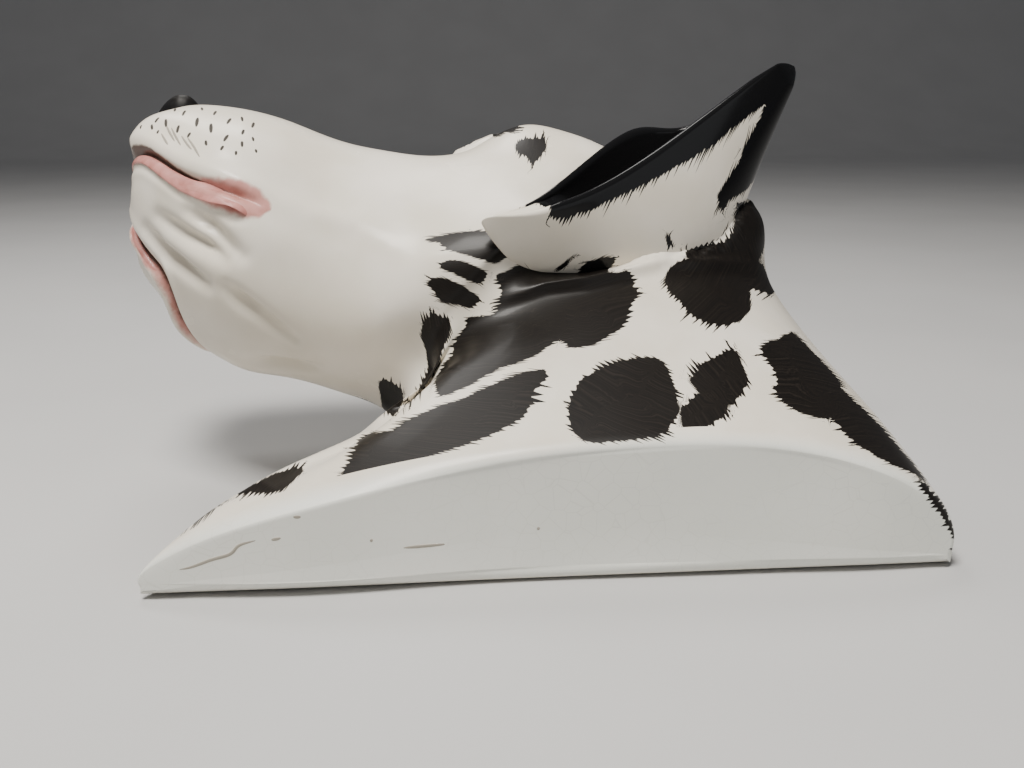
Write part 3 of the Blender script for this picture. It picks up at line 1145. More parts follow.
def crazed_white(glaze, cut):
    """White of the coat and of the cut under fine cracks, and the strength of the cracks."""
    colours, sizes = bpy.context.scene.plaque_colours, bpy.context.scene.plaque_sizes
    white = glaze.between(glaze.noise(30.0, 3.0), 0.3, 0.7, rgba(colours.coat_shade), rgba(colours.coat))
    cut_white = glaze.between(glaze.noise(16.0, 4.0), 0.3, 0.75, rgba(colours.cut), rgba(colours.cut_shade))
    lines = glaze.ramp(glaze.cells(1 / sizes.craze_cell, "DISTANCE_TO_EDGE"), 0.0, 0.035, 1.0, 0.0)
    faint = glaze.times(lines, glaze.ramp(glaze.noise(22.0), 0.35, 0.7, 0.02, 0.13))
    crack = glaze.times(faint, glaze.scaled(cut, 0.8, 0.2))
    return glaze.mixed(crack, glaze.mixed(cut, white, cut_white), rgba(colours.crack)), crack


def painted_lips(glaze, bare):
    """Pink of the lips with a soft edge, and the brown line between them, over the bare glaze."""
    colours = bpy.context.scene.plaque_colours
    blush = glaze.plus(glaze.attribute("pink"), glaze.scaled(glaze.noise(260.0, 3.0), 3.0, -1.5))
    flesh = glaze.between(glaze.noise(150.0, 3.0), 0.35, 0.7, rgba(colours.lip), rgba(colours.lip_shade))
    lips = glaze.mixed(glaze.ramp(blush, -1.4, 1.4, 0.0, 0.92), bare, flesh)
    line = glaze.plus(glaze.attribute("mouth"), glaze.scaled(glaze.noise(300.0), 1.2, -0.6))
    return glaze.mixed(glaze.ramp(line, -0.4, 0.7, 0.9, 0.0), lips, rgba(colours.mouth_line))


@functools.lru_cache(maxsize=1)
def coat_material():
    """Warm white glaze with brushed brown-black patches, pink lips, and the crazed cut."""
    colours = bpy.context.scene.plaque_colours
    glaze = Glaze("painted_coat")
    lane, cut, gloss = (glaze.attribute(name) for name in ("lane", "cut", "gloss"))
    patch = brushed_edge(glaze, lane)
    bare, crack = crazed_white(glaze, cut)
    streaks = glaze.streaks(glaze.scaled(glaze.noise(90.0), 1.5, glaze.times(lane, 1.1)), 2.0)
    black = glaze.between(streaks, 0.4, 0.75, rgba(colours.patch), rgba(colours.patch_shade))
    black = glaze.mixed(gloss, black, rgba(colours.gloss_black))
    satin = glaze.plus(glaze.scaled(patch, 0.14, 0.22), glaze.times(cut, 0.06))
    satin = glaze.maths("SUBTRACT", satin, glaze.times(glaze.times(gloss, patch), 0.26))
    relief = glaze.scaled(patch, 0.25, glaze.times(glaze.noise(420.0), 0.18))
    relief = glaze.maths("SUBTRACT", relief, glaze.times(crack, 0.25))
    return glaze.dress({
        "Base Color": glaze.mixed(patch, painted_lips(glaze, bare), black),
        "Roughness": glaze.scaled(glaze.noise(70.0), 0.08, satin),
        "Normal": glaze.bump(0.22, 0.0004, relief),
        "Coat Weight": 0.04,
        "Coat Roughness": 0.1,
        "Specular IOR Level": 0.17,
    })


@functools.lru_cache(maxsize=1)
def black_material():
    """Black glaze of the nose, with a fine pebbled skin."""
    colours = bpy.context.scene.plaque_colours
    glaze = Glaze("black_glaze")
    tone = glaze.noise(160.0, 3.0)
    return glaze.dress({
        "Base Color": glaze.between(tone, 0.35, 0.7, rgba(colours.gloss_black), rgba(colours.patch)),
        "Roughness": glaze.scaled(tone, 0.2, 0.38),
        "Normal": glaze.bump(0.35, 0.0006, glaze.cells(420.0, "SMOOTH_F1")),
        "Specular IOR Level": 0.2,
    })


@functools.lru_cache(maxsize=1)
def mark_material():
    """Thin dark paint, greyer by its tone, that fades into the glaze towards the edge of a mark."""
    colours = bpy.context.scene.plaque_colours
    glaze = Glaze("thin_paint")
    ink = glaze.mixed(glaze.attribute("tone"), rgba(colours.patch_shade), rgba(colours.coat_shade))
    edge = glaze.scaled(glaze.noise(500.0), 0.3, glaze.attribute("edge"))
    return glaze.dress({
        "Base Color": glaze.between(edge, 0.75, 1.15, ink, rgba(colours.coat)),
        "Roughness": glaze.scaled(glaze.noise(70.0), 0.1, 0.6),
        "Specular IOR Level": 0.15,
    })


@functools.lru_cache(maxsize=1)
def eye_material():
    """Dark brown eye with a black pupil and rim, under clear glaze; the attribute pole is 0 at its middle
    and 1 at its side."""
    colours = bpy.context.scene.plaque_colours
    glaze = Glaze("eye_glaze")
    black, pole, rays = rgba(colours.gloss_black), glaze.attribute("pole"), glaze.noise(700.0, 3.0)
    iris = glaze.between(rays, 0.3, 0.7, rgba(colours.eye), rgba(colours.eye_rays))
    rimmed = glaze.between(pole, 0.62, 0.72, iris, black)
    return glaze.dress({
        "Base Color": glaze.mixed(glaze.ramp(pole, 0.3, 0.36, 1.0, 0.0), rimmed, black),
        "Roughness": glaze.scaled(rays, 0.05, 0.05),
        "Coat Weight": 1.0,
        "Coat Roughness": 0.03,
    })


@functools.lru_cache(maxsize=1)
def lip_material():
    """Pink glaze of the lips, darker in blotches."""
    colours = bpy.context.scene.plaque_colours
    glaze = Glaze("lip_glaze")
    blotch = glaze.noise(170.0, 3.0)
    return glaze.dress({
        "Base Color": glaze.between(blotch, 0.35, 0.7, rgba(colours.lip), rgba(colours.lip_shade)),
        "Roughness": glaze.scaled(blotch, 0.12, 0.36),
        "Normal": glaze.bump(0.3, 0.0004, glaze.noise(600.0)),
        "Coat Weight": 0.1,
    })


@functools.lru_cache(maxsize=1)
def clay_material():
    """Unglazed clay of the back plate, with sponge marks and a fine dark speckle."""
    colours = bpy.context.scene.plaque_colours
    glaze = Glaze("bare_clay")
    grain, sponge = glaze.noise(900.0, 3.0), glaze.noise(60.0, 4.0)
    clay = glaze.between(sponge, 0.35, 0.7, rgba(colours.clay), rgba(colours.clay_shade))
    speckle = glaze.ramp(grain, 0.62, 0.75, 0.0, 0.35)
    return glaze.dress({
        "Base Color": glaze.mixed(speckle, clay, rgba(colours.clay_speckle)),
        "Roughness": glaze.scaled(grain, 0.2, 0.62),
        "Normal": glaze.bump(0.5, 0.0006, glaze.plus(grain, sponge)),
    })


def size(name, words, default):
    """Length property of the plaque, in metres."""
    return bpy.props.FloatProperty(name=name, description=words, default=default, unit="LENGTH")


def colour(name, words, default):
    """Colour property of the plaque."""
    return bpy.props.FloatVectorProperty(
        name=name, description=words, default=default, min=0.0, max=1.0, subtype="COLOR")


class PlaqueSizes(bpy.types.PropertyGroup):
    """Sizes of the plaque's visible detail."""

    edge_radius: size("Cut edge", "Rounding of the edge of the neck's cut", 0.0026)
    mouth_depth: size("Mouth depth", "Depth of the line between the lips", 0.0026)
    crease_depth: size("Chin creases", "Depth of the creases of the chin", 0.0052)
    lip_rise: size("Lip rise", "Height of the pink roll of the lips", 0.0009)
    eye_radius: size("Eye radius", "Radius of an eyeball", 0.009)
    eye_proud: size("Eye height", "How far an eyeball stands out of the skin", 0.0015)
    ear_wall: size("Ear wall", "Thickness of an ear", 0.005)
    stroke_length: size("Stroke length", "Longest brush stroke at a patch's edge", 0.0064)
    stroke_width: size("Stroke width", "Spacing of the brush strokes", 0.0015)
    craze_cell: size("Craze cell", "Width of a cell of the crazed glaze", 0.0065)


class PlaqueColours(bpy.types.PropertyGroup):
    """Colours of the plaque's paints and glazes."""

    coat: colour("Coat", "Warm white of the painted coat", (0.82, 0.765, 0.67))
    coat_shade: colour("Coat shade", "Thicker, yellower glaze of the coat", (0.74, 0.68, 0.57))
    patch: colour("Patch", "Brown-black of the patches", (0.007, 0.0058, 0.005))
    patch_shade: colour("Patch shade", "Thin paint in the patches", (0.017, 0.0135, 0.011))
    gloss_black: colour("Ear black", "Glossy black of the ears, nose and eyes", (0.006, 0.006, 0.0065))
    cut: colour("Cut", "Cool white of the neck's cut", (0.85, 0.845, 0.78))
    cut_shade: colour("Cut shade", "Thicker glaze of the neck's cut", (0.78, 0.79, 0.725))
    lip: colour("Lip", "Pink of the lips", (0.57, 0.255, 0.225))
    lip_shade: colour("Lip shade", "Darker pink of the lips", (0.43, 0.165, 0.14))
    mouth_line: colour("Mouth line", "Brown between the lips", (0.07, 0.033, 0.024))
    clay: colour("Clay", "Unglazed clay of the back plate", (0.58, 0.53, 0.45))
    eye: colour("Eye", "Brown of the eyes", (0.045, 0.018, 0.007))
    floor: colour("Floor", "Pale floor", (0.52, 0.515, 0.51))
    crack: colour("Crack", "Grey of the cracks in the glaze", (0.33, 0.32, 0.27))
    eye_rays: colour("Eye rays", "Lighter rays of the eyes", (0.09, 0.035, 0.012))
    clay_shade: colour("Clay shade", "Sponge marks on the clay", (0.48, 0.43, 0.36))
    clay_speckle: colour("Clay speckle", "Dark grains of the clay", (0.25, 0.2, 0.16))


def current_skin():
    """The skin at the sizes in the sidebar."""
    sizes = bpy.context.scene.plaque_sizes
    chosen = (sizes.mouth_depth, sizes.crease_depth, sizes.ear_wall)
    return plaque_skin(*(round(chosen_size / MM, 4) for chosen_size in chosen))


def part_of(values, rows):
    """Rows of each painted attribute."""
    return {name: field[rows] for name, field in values.items()}


class PLAQUE_OT_neck(bpy.types.Operator):
    """Neck of the plaque, from its end wall to the seam behind the jaw"""

    bl_idname = "plaque.neck"
    bl_label = "Neck"

    def execute(self, context):
        s, points, normals, paint, _ = current_skin()
        rows = slice(0, int(np.searchsorted(s, SEAM_ROW)) + 1)
        piece = tube_piece(points[rows], normals[rows], ((0, -1, 0), (0, 1, 0)), part_of(paint, rows))
        piece.build("neck", coat_material(), "coat_glaze", "neck_shell")
        return {"FINISHED"}


class PLAQUE_OT_end_wall(bpy.types.Operator):
    """White end wall of the neck: a flat face whose edge rolls over into the skin"""

    bl_idname = "plaque.end_wall"
    bl_label = "Neck end wall"

    def inward_ways(self, edge):
        """Ways from the edge of the cut into it, square to the edge and evened out along it."""
        tangent = unit(np.roll(edge, -CUT_TANGENT, 0) - np.roll(edge, CUT_TANGENT, 0))
        inward = np.cross(tangent, (0.0, 1.0, 0.0))
        right_way = ((CUT_CENTRE - edge) * inward).sum(-1, keepdims=True) > 0
        inward = np.where(right_way, inward, -inward)
        return unit(sum(np.roll(inward, k, 0) for k in range(-CUT_WINDOW, CUT_WINDOW + 1)))

    def wall_points(self, radius):
        """Rows from the joint with the neck, over the edge as a quadratic curve, to the middle of the
        face, and how loosely each row follows the waves of the cut."""
        curves, arcs, _ = fine_sections(np.array([0.0, WALL_JOINT]))
        shares = np.tile(np.linspace(0, 1, CUT_COLUMNS, endpoint=False), (2, 1))
        edge, joint = onto_wall(along_rows(arcs, curves, shares))
        radius = radius * (1 + EDGE_SWELL * bell(edge[:, 2:], 0, EDGE_SWELL_REACH))
        on_face = edge + self.inward_ways(edge) * radius
        t = np.linspace(0, 1, CUT_ROLL_ROWS)[:, None, None]
        roll = (1 - t) ** 2 * joint + 2 * t * (1 - t) * edge + t**2 * on_face
        share = np.linspace(1, 0, CUT_FACE_ROWS + 2)[1:-1, None, None]
        face = CUT_CENTRE + (on_face - CUT_CENTRE) * share
        ripple = np.sin(face[..., 0] / CUT_RIPPLE_REACH[0]) * np.sin(face[..., 2] / CUT_RIPPLE_REACH[1] + 1)
        face[..., 1] += CUT_DISH * (1 - share[..., 0] ** 2) + CUT_RIPPLE * ripple
        return np.concatenate([roll, face]), np.concatenate([t[..., 0], np.ones((CUT_FACE_ROWS, 1))])

    def execute(self, context):
        points, rolled = self.wall_points(context.scene.plaque_sizes.edge_radius / MM)
        points[..., 1] += rolled**2 * hills(points[..., :1], CUT_WAVES)
        points[..., 0] += rolled**2 * hills(points[..., :1], CUT_TOE)
        normals = grid_normals(points)
        white = linear_step(rolled, *CUT_WHITE_START) * np.ones(CUT_COLUMNS)
        patches = picture_patches(points, normals, [NECK_PATCHES[name] for name in WALL_PATCHES])
        piece = tube_piece(points, normals, ((0, 1, 0), (0, -1, 0)), coat_paint(*patches, cut=white))
        piece.build("neck_end", coat_material(), "white_glaze", "neck_end_wall")
        stains = chains_on_skin(CUT_STAINS, points, normals, CUT_STAIN_POINTS)
        build_marks("cut_stains", "white_glaze", [(*stains, *CUT_STAIN_FORM)])
        return {"FINISHED"}


class PLAQUE_OT_head(bpy.types.Operator):
    """Head with its lower jaw, split along the mouth line"""

    bl_idname = "plaque.head"
    bl_label = "Head and jaw"

    def execute(self, context):
        s, points, normals, paint, _ = current_skin()
        rows = slice(int(np.searchsorted(s, SEAM_ROW)), None)
        s, points, normals, paint = s[rows], points[rows], normals[rows], part_of(paint, rows)
        corner = int(np.searchsorted(s, MOUTH_CORNER_ROW))
        index = np.arange(points.shape[0] * points.shape[1]).reshape(points.shape[:2])
        first, second = NEAR_COLUMNS, NEAR_COLUMNS + UNDER_COLUMNS
        upper = np.concatenate([index[:, second:], index[:, :first + 1]], 1)
        under = index[:, first:second + 1]
        tip = points[-1].mean(0) + TIP_POINT * HEAD_AXIS
        throat = head_points(MOUTH_INSIDE, MUZZLE_ROLL)
        head = Piece(points, normals, paint)
        apex = head.add_point(tip, HEAD_AXIS, index[-1])
        head.add_grid(index[:corner + 1], True)
        head.add_grid(upper[corner:], False)
        head.fan(upper[-1], apex)
        head.close(index[0], points[0].mean(0), (0, -1, 0))
        loop = np.concatenate([under[corner, :-1], index[corner:, second], [apex], index[:corner:-1, first]])
        head.close(loop, throat, -CROWN_SIDE)
        head.build("head", coat_material(), "coat_glaze", "head_shell")
        jaw = Piece(points, normals, paint)
        apex = jaw.add_point(tip, HEAD_AXIS, index[-1])
        jaw.add_grid(under[corner:], False)
        jaw.fan(under[-1], apex)
        jaw.close(loop, throat, CROWN_SIDE)
        jaw.build("jaw", coat_material(), "coat_glaze", "lower_jaw")
        return {"FINISHED"}


class PLAQUE_OT_lips(bpy.types.Operator):
    """Pink roll of the lips: a flat oval profile, as wide as the painted lip, carried along it"""

    bl_idname = "plaque.lips"
    bl_label = "Lip lining"

    def roll_of(self, rise, path, out, half):
        """Oval cos a along the skin and sin a out of it, carried from the corner of the mouth, where it
        rises out of the skin, to the front, where it narrows to a point."""
        path = moving_mean(path, LIP_WINDOW)
        side = unit(np.cross(out, unit(np.gradient(path, axis=0))))
        share = np.linspace(*LIP_SHARES, len(path))[:, None]
        taper = np.sqrt(np.clip(np.minimum(share, 1 - share) / LIP_TAPER, 0, 1))
        angle = np.linspace(0, 2 * np.pi, LIP_COLUMNS, endpoint=False)[None, :, None]
        sink = LIP_SINK * (1 - np.clip(share / LIP_SINK_SHARE, 0, 1)) ** LIP_SINK_POWER
        core = path - (LIP_ROLL_SINK * rise + sink) * out
        across = np.cos(angle) * (side * half * taper * LIP_ROLL_WIDTH)[:, None]
        return core[:, None] + across + np.sin(angle) * (out * rise * taper)[:, None]

    def execute(self, context):
        rise = context.scene.plaque_sizes.lip_rise / MM
        rolls = [self.roll_of(rise, *lip) for lip in current_skin()[4]]
        piece = tubes_piece(rolls, [grid_normals(roll) for roll in rolls])
        piece.build("lips", lip_material(), "lip_pink", "lip_lining")
        return {"FINISHED"}


class PLAQUE_OT_nose(bpy.types.Operator):
    """Black nose: an ellipsoid with a middle groove and two comma nostrils"""

    bl_idname = "plaque.nose"
    bl_label = "Nose"

    def execute(self, context):
        ways, _ = ball_ways(NOSE_ROWS, NOSE_COLUMNS)
        place = ways * NOSE_HALF * (1 + NOSE_FLARE * ways[..., 2:] ** 2)
        across, up = place[..., 2], place[..., 1]
        aside = np.abs(across) - NOSTRIL_OUT
        nostril = bell(up - NOSTRIL_SLANT * aside, -NOSTRIL_LOW, NOSTRIL_HEIGHT)
        nostril = nostril * bell(aside, 0, NOSTRIL_WIDTH)
        slit = bell(across, 0, NOSE_SLIT_WIDTH) * np.clip((NOSE_SLIT_TOP - up) / NOSE_SLIT_FADE, 0, 1)
        front = np.clip(ways[..., 0] * NOSE_FRONT, 0, 1)
        depth = front * (NOSTRIL_DEPTH * nostril + NOSE_SLIT_DEPTH * slit)
        points = head_points(place - ways * depth[..., None] + NOSE_PLACE, MUZZLE_ROLL)
        near_side = turned(MUZZLE_ROLL)[1]
        piece = tube_piece(points, grid_normals(points), (near_side, -near_side))
        piece.build("nose", black_material(), "black_glaze", "nose_pad")
        return {"FINISHED"}


class PLAQUE_OT_eyes(bpy.types.Operator):
    """Both eyeballs: spheres with a low corneal swelling"""

    bl_idname = "plaque.eyes"
    bl_label = "Eyes"

    def execute(self, context):
        sizes = context.scene.plaque_sizes
        radius, proud = sizes.eye_radius / MM, sizes.eye_proud / MM
        ways, lift = ball_ways(EYE_ROWS, EYE_COLUMNS)
        ball = radius * (1 + CORNEA_RISE * bell(lift, 0, CORNEA_SPREAD))[..., None]
        pole = lift / (np.pi / 2) * np.ones(EYE_COLUMNS)
        for name, (place, out, along) in zip(("near_eye", "far_eye"), eye_places()):
            normals = ways @ np.stack([along, np.cross(out, along), out])
            points = place - out * (radius - proud) + normals * ball
            piece = tube_piece(points, normals, (out, -out), {"pole": pole})
            piece.build(name + "_ball", eye_material(), "black_glaze", name)
        return {"FINISHED"}


def ear_surface(wall):
    """Closed crescent sections along the ear, which of their points are inside it, how far each is across
    the inside, and the stations. A section runs over an outer half ellipse from the near rim round the
    keel to the far rim, half a circle over that rim, the inner half ellipse back, and half a circle over
    the near rim."""
    t = np.linspace(0, len(EAR_STATIONS) - 1, EAR_GRID_ROWS)[:, None, None]
    rims = natural(EAR_STATIONS, t[:, 0, 0]) + (0, 0, BROW_HALF_WIDTH)
    near, keel, far = (head_points(rims[:, None, k]) for k in range(3))
    middle = (near + far) / 2
    across, deep = near - middle, keel - middle
    wide, depth = (np.linalg.norm(arm, axis=-1, keepdims=True) for arm in (across, deep))
    thick = np.minimum(wall, EAR_THICKEST * np.minimum(wide, depth))
    a = np.linspace(0, np.pi, EAR_HALF_COLUMNS)[None, :, None]
    b = a[:, ::-1]
    c = np.linspace(0, np.pi, EAR_RIM_COLUMNS + 2)[None, 1:-1, None]
    hollow = smooth_step(t, *EAR_HOLLOW)
    cup = hollow * (1 - thick / depth) - EAR_ROOT_DOME * (1 - hollow)
    outer = middle + across * np.cos(a) + deep * np.sin(a)
    inner = middle + across * (1 - thick / wide) * np.cos(b) + deep * cup * np.sin(b)

    def rim(start, end):
        """Half a circle from start to end, bulging away from the keel."""
        centre, arm = (start + end) / 2, (start - end) / 2
        rise = -unit(deep) * np.linalg.norm(arm, axis=-1, keepdims=True)
        return centre + arm * np.cos(c) + rise * np.sin(c)

    far_rim, near_rim = rim(outer[:, -1:], inner[:, :1]), rim(inner[:, -1:], outer[:, :1])
    loop = np.concatenate([outer, far_rim, inner, near_rim], 1)
    tip = np.sqrt(1 - EAR_TIP_ROUNDNESS * linear_step(t, *EAR_TIP) ** 2)
    base = np.sqrt(1 - EAR_BASE_ROUNDNESS * linear_step(t, *EAR_BASE) ** 2)
    core = loop.mean(1, keepdims=True)
    inside = np.arange(loop.shape[1])[None] >= EAR_HALF_COLUMNS
    lap = linear_step(np.arange(loop.shape[1])[None], EAR_INSIDE_START, EAR_INSIDE_END)
    return core + (loop - core) * tip * base, inside, lap, t[..., 0]


class PLAQUE_OT_ears(bpy.types.Operator):
    """Both ears: cupped, pointed, black inside and along the rim, the far one mirrored"""

    bl_idname = "plaque.ears"
    bl_label = "Ears"

    def execute(self, context):
        points, inside, lap, t = ear_surface(context.scene.plaque_sizes.ear_wall / MM)
        normals = grid_normals(points)
        middles = points.mean(1)
        ends = unit(middles[[0, -1]] - middles[list(EAR_END_ROWS)])
        white, lane, reach = picture_patches(points, normals, [EAR_WHITE])
        strokes, stroke_lane, stroke_reach = picture_patches(
            points, normals, [NECK_PATCHES[name] for name in EAR_PATCHES])
        lane = np.where(strokes > -white, stroke_lane, lane)
        reach = np.where(strokes > -white, stroke_reach, EAR_STROKES * reach)
        reach = np.where(inside, EAR_INNER_STROKES, reach)
        black = (t - EAR_BLACK_START - EAR_BLACK_SLANT * lap) * EAR_BLACK_STEEPNESS
        black = np.clip(black, -EAR_BLACK_DEPTH, EAR_BLACK_DEPTH)
        patch = np.where(inside, black, np.maximum(-white, strokes))
        patch = np.where((t < EAR_ROOT) & (strokes < 0), FAR_OUTSIDE, patch)
        paint = coat_paint(patch, lane, reach, gloss=np.ones_like(patch))
        near = tube_piece(points, normals, ends, paint)
        near.build("near_ear_cup", coat_material(), "coat_glaze", "near_ear")
        twin = mirrored(points)
        twin[..., 2] = np.maximum(twin[..., 2], EAR_FLOAT)
        flip = np.eye(3) - 2 * np.outer(NEAR_SIDE, NEAR_SIDE)
        far = tube_piece(twin, normals @ flip, ends @ flip, paint)
        far.build("far_ear_cup", coat_material(), "coat_glaze", "far_ear")
        return {"FINISHED"}


def on_skin(places, points, normals):
    """Plaque points and outward ways under places of the picture: the camera's ray meets the tangent
    plane of the nearest visible grid point."""
    place, _ = pixels(points)
    hidden = facing_camera(points, normals) < LEAST_VISIBLE
    index = [np.where(hidden, np.inf, np.linalg.norm(place - spot, axis=-1)).argmin() for spot in places]
    spot, out = points.reshape(-1, 3)[index], normals.reshape(-1, 3)[index]
    x, y = ((np.asarray(places) - np.array(PICTURE) / 2) / FOCAL_PIXELS).T
    ray = CAMERA_AHEAD + x[:, None] * CAMERA_RIGHT - y[:, None] * CAMERA_UP
    reach = ((spot - CAMERA_PLACE) * out).sum(-1) / (ray * out).sum(-1)
    return CAMERA_PLACE + reach[:, None] * ray, out


def marks(paths, ways, half_widths, rise):
    """Flat lens along each path: w = half width sqrt(1 - (2t - 1)^2) to both sides and the rise, scaled
    alike, upwards. Gives the points, the outward ways, and how near each point is to the lens's edge."""
    t = np.linspace(*MARK_SHARES, paths.shape[1])
    taper = np.sqrt(1 - (2 * t - 1) ** 2)[None, :, None, None]
    angle = np.linspace(0, 2 * np.pi, MARK_COLUMNS, endpoint=False)[None, None, :, None]
    side = unit(np.cross(ways, np.gradient(paths, axis=1)))[:, :, None]
    out = ways[:, :, None]
    wide = np.cos(angle) * side * np.reshape(half_widths, (-1, 1, 1, 1))
    points = paths[:, :, None] + taper * (wide + np.sin(angle) * out * rise) - MARK_SINK * rise * out
    edge = np.maximum(np.abs(np.cos(angle)), 1 - taper)[..., 0] * np.ones(points.shape[:-1])
    return points, unit(np.cos(angle) * side + 2 * np.sin(angle) * out), edge


def build_marks(name, slot, groups):
    """One piece of all the marks of the groups: paths, outward ways, half widths, rise and tone."""
    shapes, normals, edges, tones = [], [], [], []
    for *form, tone in groups:
        points, ways, edge = marks(*form)
        shapes.extend(points)
        normals.extend(ways)
        edges.append(edge.ravel())
        tones.append(np.full(edge.size, tone))
    paint = {"edge": np.concatenate(edges), "tone": np.concatenate(tones)}
    tubes_piece(shapes, normals, paint).build(name, mark_material(), slot)


def chains_on_skin(chains, points, normals, count):
    """Each chain of picture places as a path of count points on the skin, with the outward ways."""
    paths, ways = [], []
    for chain in chains:
        chain = np.array(chain, float)
        t = np.linspace(0, len(chain) - 1, count)
        place = natural(chain, t) if len(chain) > 2 else chain[0] + t[:, None] * (chain[1] - chain[0])
        path, way = on_skin(place, points, normals)
        paths.append(path)
        ways.append(way)
    return np.array(paths), np.array(ways)


class PLAQUE_OT_marks(bpy.types.Operator):
    """Whisker dots and dry brush marks of the muzzle, with the dots mirrored to its far side"""

    bl_idname = "plaque.marks"
    bl_label = "Whisker dots"

    def execute(self, context):
        s, points, normals, _, _ = current_skin()
        rows = slice(int(np.searchsorted(s, FIRST_DOT_ROW)), len(s) - TIP_ROWS)
        points, normals = points[rows], normals[rows]
        places, lengths = WHISKER_DOTS[:, :2], WHISKER_DOTS[:, 2]
        middle, way = on_skin(places, points, normals)
        swing = np.radians(DOT_WAY + DOT_SWAY * np.sin(DOT_BEAT * np.arange(len(places))))
        along = on_skin(places + np.stack([np.cos(swing), np.sin(swing)], -1), points, normals)[0] - middle
        stretch = np.clip(np.linalg.norm(along, axis=1) / DOT_PIXEL, 1.0, DOT_STRETCH)
        along = unit(along)
        twin = mirrored(middle, MUZZLE_ROLL)
        twin_along = mirrored(middle + along, MUZZLE_ROLL) - twin
        index = [np.linalg.norm(points - spot, axis=-1).argmin() for spot in twin]
        spot, twin_way = points.reshape(-1, 3)[index], normals.reshape(-1, 3)[index]
        twin = twin - ((twin - spot) * twin_way).sum(-1, keepdims=True) * twin_way
        pairs = ((middle, twin), (way, twin_way), (along, twin_along))
        middle, way, along = (np.vstack(pair) for pair in pairs)
        along = unit(along - (along * way).sum(-1, keepdims=True) * way)
        along = along * np.tile(stretch * lengths, 2)[:, None]
        steps = np.linspace(-DOT_HALF_LENGTH, DOT_HALF_LENGTH, DOT_POINTS)[None, :, None]
        paths = middle[:, None] + along[:, None] * steps
        ways = np.repeat(way[:, None], DOT_POINTS, 1)
        half_widths = DOT_WIDENING * np.tile(lengths, 2) + DOT_HALF_WIDTH
        dots = (paths, ways, half_widths, DOT_RISE, DOT_TONE)
        brushed = (*chains_on_skin(DRY_BRUSH, points, normals, DRY_BRUSH_POINTS), *DRY_BRUSH_FORM)
        build_marks("whisker_dots", "black_glaze", [dots, brushed])
        return {"FINISHED"}


class PLAQUE_OT_back_plate(bpy.types.Operator):
    """Unglazed clay on the back plate, which keeps its CAD shape"""

    bl_idname = "plaque.back_plate"
    bl_label = "Back plate"

    def execute(self, context):
        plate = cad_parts["back_plate"]
        plate.data.materials.clear()
        plate.data.materials.append(clay_material())
        return {"FINISHED"}


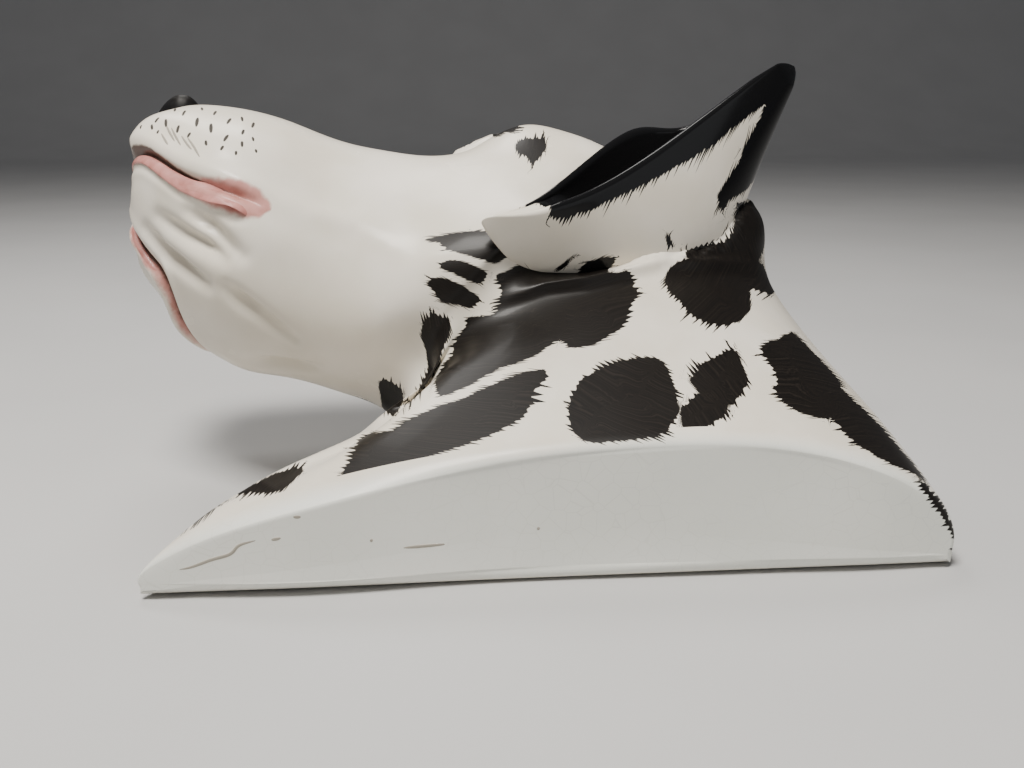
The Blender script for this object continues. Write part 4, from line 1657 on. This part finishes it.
class PLAQUE_OT_stage(bpy.types.Operator):
    """Pale floor that curves up behind, soft lights, and the camera of the photograph"""

    bl_idname = "plaque.stage"
    bl_label = "Stage"

    def add_floor(self, scene):
        """Level floor that turns up behind in a quarter circle and goes on upright."""
        x = np.linspace(-FLOOR_HALF_WIDTH, FLOOR_HALF_WIDTH, FLOOR_COLUMNS)[None]
        run = np.linspace(0, 1, FLOOR_ROWS)[:, None]
        start, end = FLOOR_TURN
        bend = linear_step(run, start, end) * np.pi / 2
        y = FLOOR_FRONT + FLOOR_DEPTH * linear_step(run, 0, start) + FLOOR_BEND * np.sin(bend)
        z = FLOOR_BEND * (1 - np.cos(bend)) + FLOOR_BACK * linear_step(run, end, 1.0) - FLOOR_GAP
        points = np.stack(np.broadcast_arrays(x, y, z), -1)
        index = np.arange(points[..., 0].size).reshape(points.shape[:2])
        faces = np.stack([index[:-1, :-1], index[:-1, 1:], index[1:, 1:], index[1:, :-1]], -1).reshape(-1, 4)
        mesh = bpy.data.meshes.new("floor")
        mesh.from_pydata(points.reshape(-1, 3), [], faces.tolist())
        mesh.polygons.foreach_set("use_smooth", np.ones(len(mesh.polygons), bool))
        glaze = Glaze("floor_paper")
        base = scene.plaque_colours.floor
        darker = rgba([FLOOR_SHADE * part for part in base])
        shade = glaze.between(glaze.noise(6.0), 0.3, 0.7, rgba(base), darker)
        mesh.materials.append(glaze.dress({"Base Color": shade, "Roughness": 0.85}))
        floor = bpy.data.objects.new("floor", mesh)
        scene.collection.objects.link(floor)

    def add_lights(self, scene):
        """Dim world and the soft lights, each turned to its aim."""
        world = bpy.data.worlds.new("studio")
        world.use_nodes = True
        sky = world.node_tree.nodes["Background"]
        sky.inputs[0].default_value, sky.inputs[1].default_value = SKY
        scene.world = world
        for name, (place, aim, width, power, tint) in LIGHTS.items():
            light = bpy.data.lights.new(name, "AREA")
            light.size, light.energy, light.color = width, power, tint
            lamp = bpy.data.objects.new(name, light)
            lamp.location = place
            way = np.array(aim) - np.array(place)
            tilt = np.arccos(-way[2] / np.linalg.norm(way))
            lamp.rotation_euler = (tilt, 0.0, np.arctan2(way[0], -way[1]) + np.pi)
            scene.collection.objects.link(lamp)

    def add_camera(self, scene):
        """Camera of the photograph."""
        camera = bpy.data.cameras.new("camera")
        camera.sensor_width = SENSOR_WIDTH
        camera.lens = SENSOR_WIDTH * FOCAL_PIXELS / PICTURE[0]
        camera.clip_start = NEAREST_SEEN
        eye = bpy.data.objects.new("camera", camera)
        eye.location = to_metres(CAMERA_PLACE)
        eye.rotation_euler = (np.pi / 2 - CAMERA_PITCH, 0.0, -CAMERA_YAW)
        scene.collection.objects.link(eye)
        scene.camera = eye

    def execute(self, context):
        self.add_floor(context.scene)
        self.add_lights(context.scene)
        self.add_camera(context.scene)
        return {"FINISHED"}


OPERATORS = (
    PLAQUE_OT_stage, PLAQUE_OT_neck, PLAQUE_OT_end_wall, PLAQUE_OT_head, PLAQUE_OT_lips,
    PLAQUE_OT_nose, PLAQUE_OT_marks, PLAQUE_OT_eyes, PLAQUE_OT_ears, PLAQUE_OT_back_plate,
)


class PLAQUE_PT_panel(bpy.types.Panel):
    """Sizes, colours and pieces of the plaque"""

    bl_idname = "PLAQUE_PT_panel"
    bl_label = "Animal head plaque"
    bl_space_type = "VIEW_3D"
    bl_region_type = "UI"
    bl_category = "Plaque"

    def draw(self, context):
        for group in (context.scene.plaque_sizes, context.scene.plaque_colours):
            for name in group.__annotations__:
                self.layout.prop(group, name)
        for operator in OPERATORS:
            self.layout.operator(operator.bl_idname)


CLASSES = (PlaqueSizes, PlaqueColours, *OPERATORS, PLAQUE_PT_panel)


def register():
    """Adds the classes and the two property groups."""
    for item in CLASSES:
        bpy.utils.register_class(item)
    bpy.types.Scene.plaque_sizes = bpy.props.PointerProperty(type=PlaqueSizes)
    bpy.types.Scene.plaque_colours = bpy.props.PointerProperty(type=PlaqueColours)


def unregister():
    """Takes them away again."""
    del bpy.types.Scene.plaque_colours
    del bpy.types.Scene.plaque_sizes
    for item in reversed(CLASSES):
        bpy.utils.unregister_class(item)


def main():
    register()
    bpy.ops.plaque.stage()
    bpy.ops.plaque.neck()
    bpy.ops.plaque.end_wall()
    bpy.ops.plaque.head()
    bpy.ops.plaque.lips()
    bpy.ops.plaque.nose()
    bpy.ops.plaque.marks()
    bpy.ops.plaque.eyes()
    bpy.ops.plaque.ears()
    bpy.ops.plaque.back_plate()


if __name__ == "__main__":
    main()
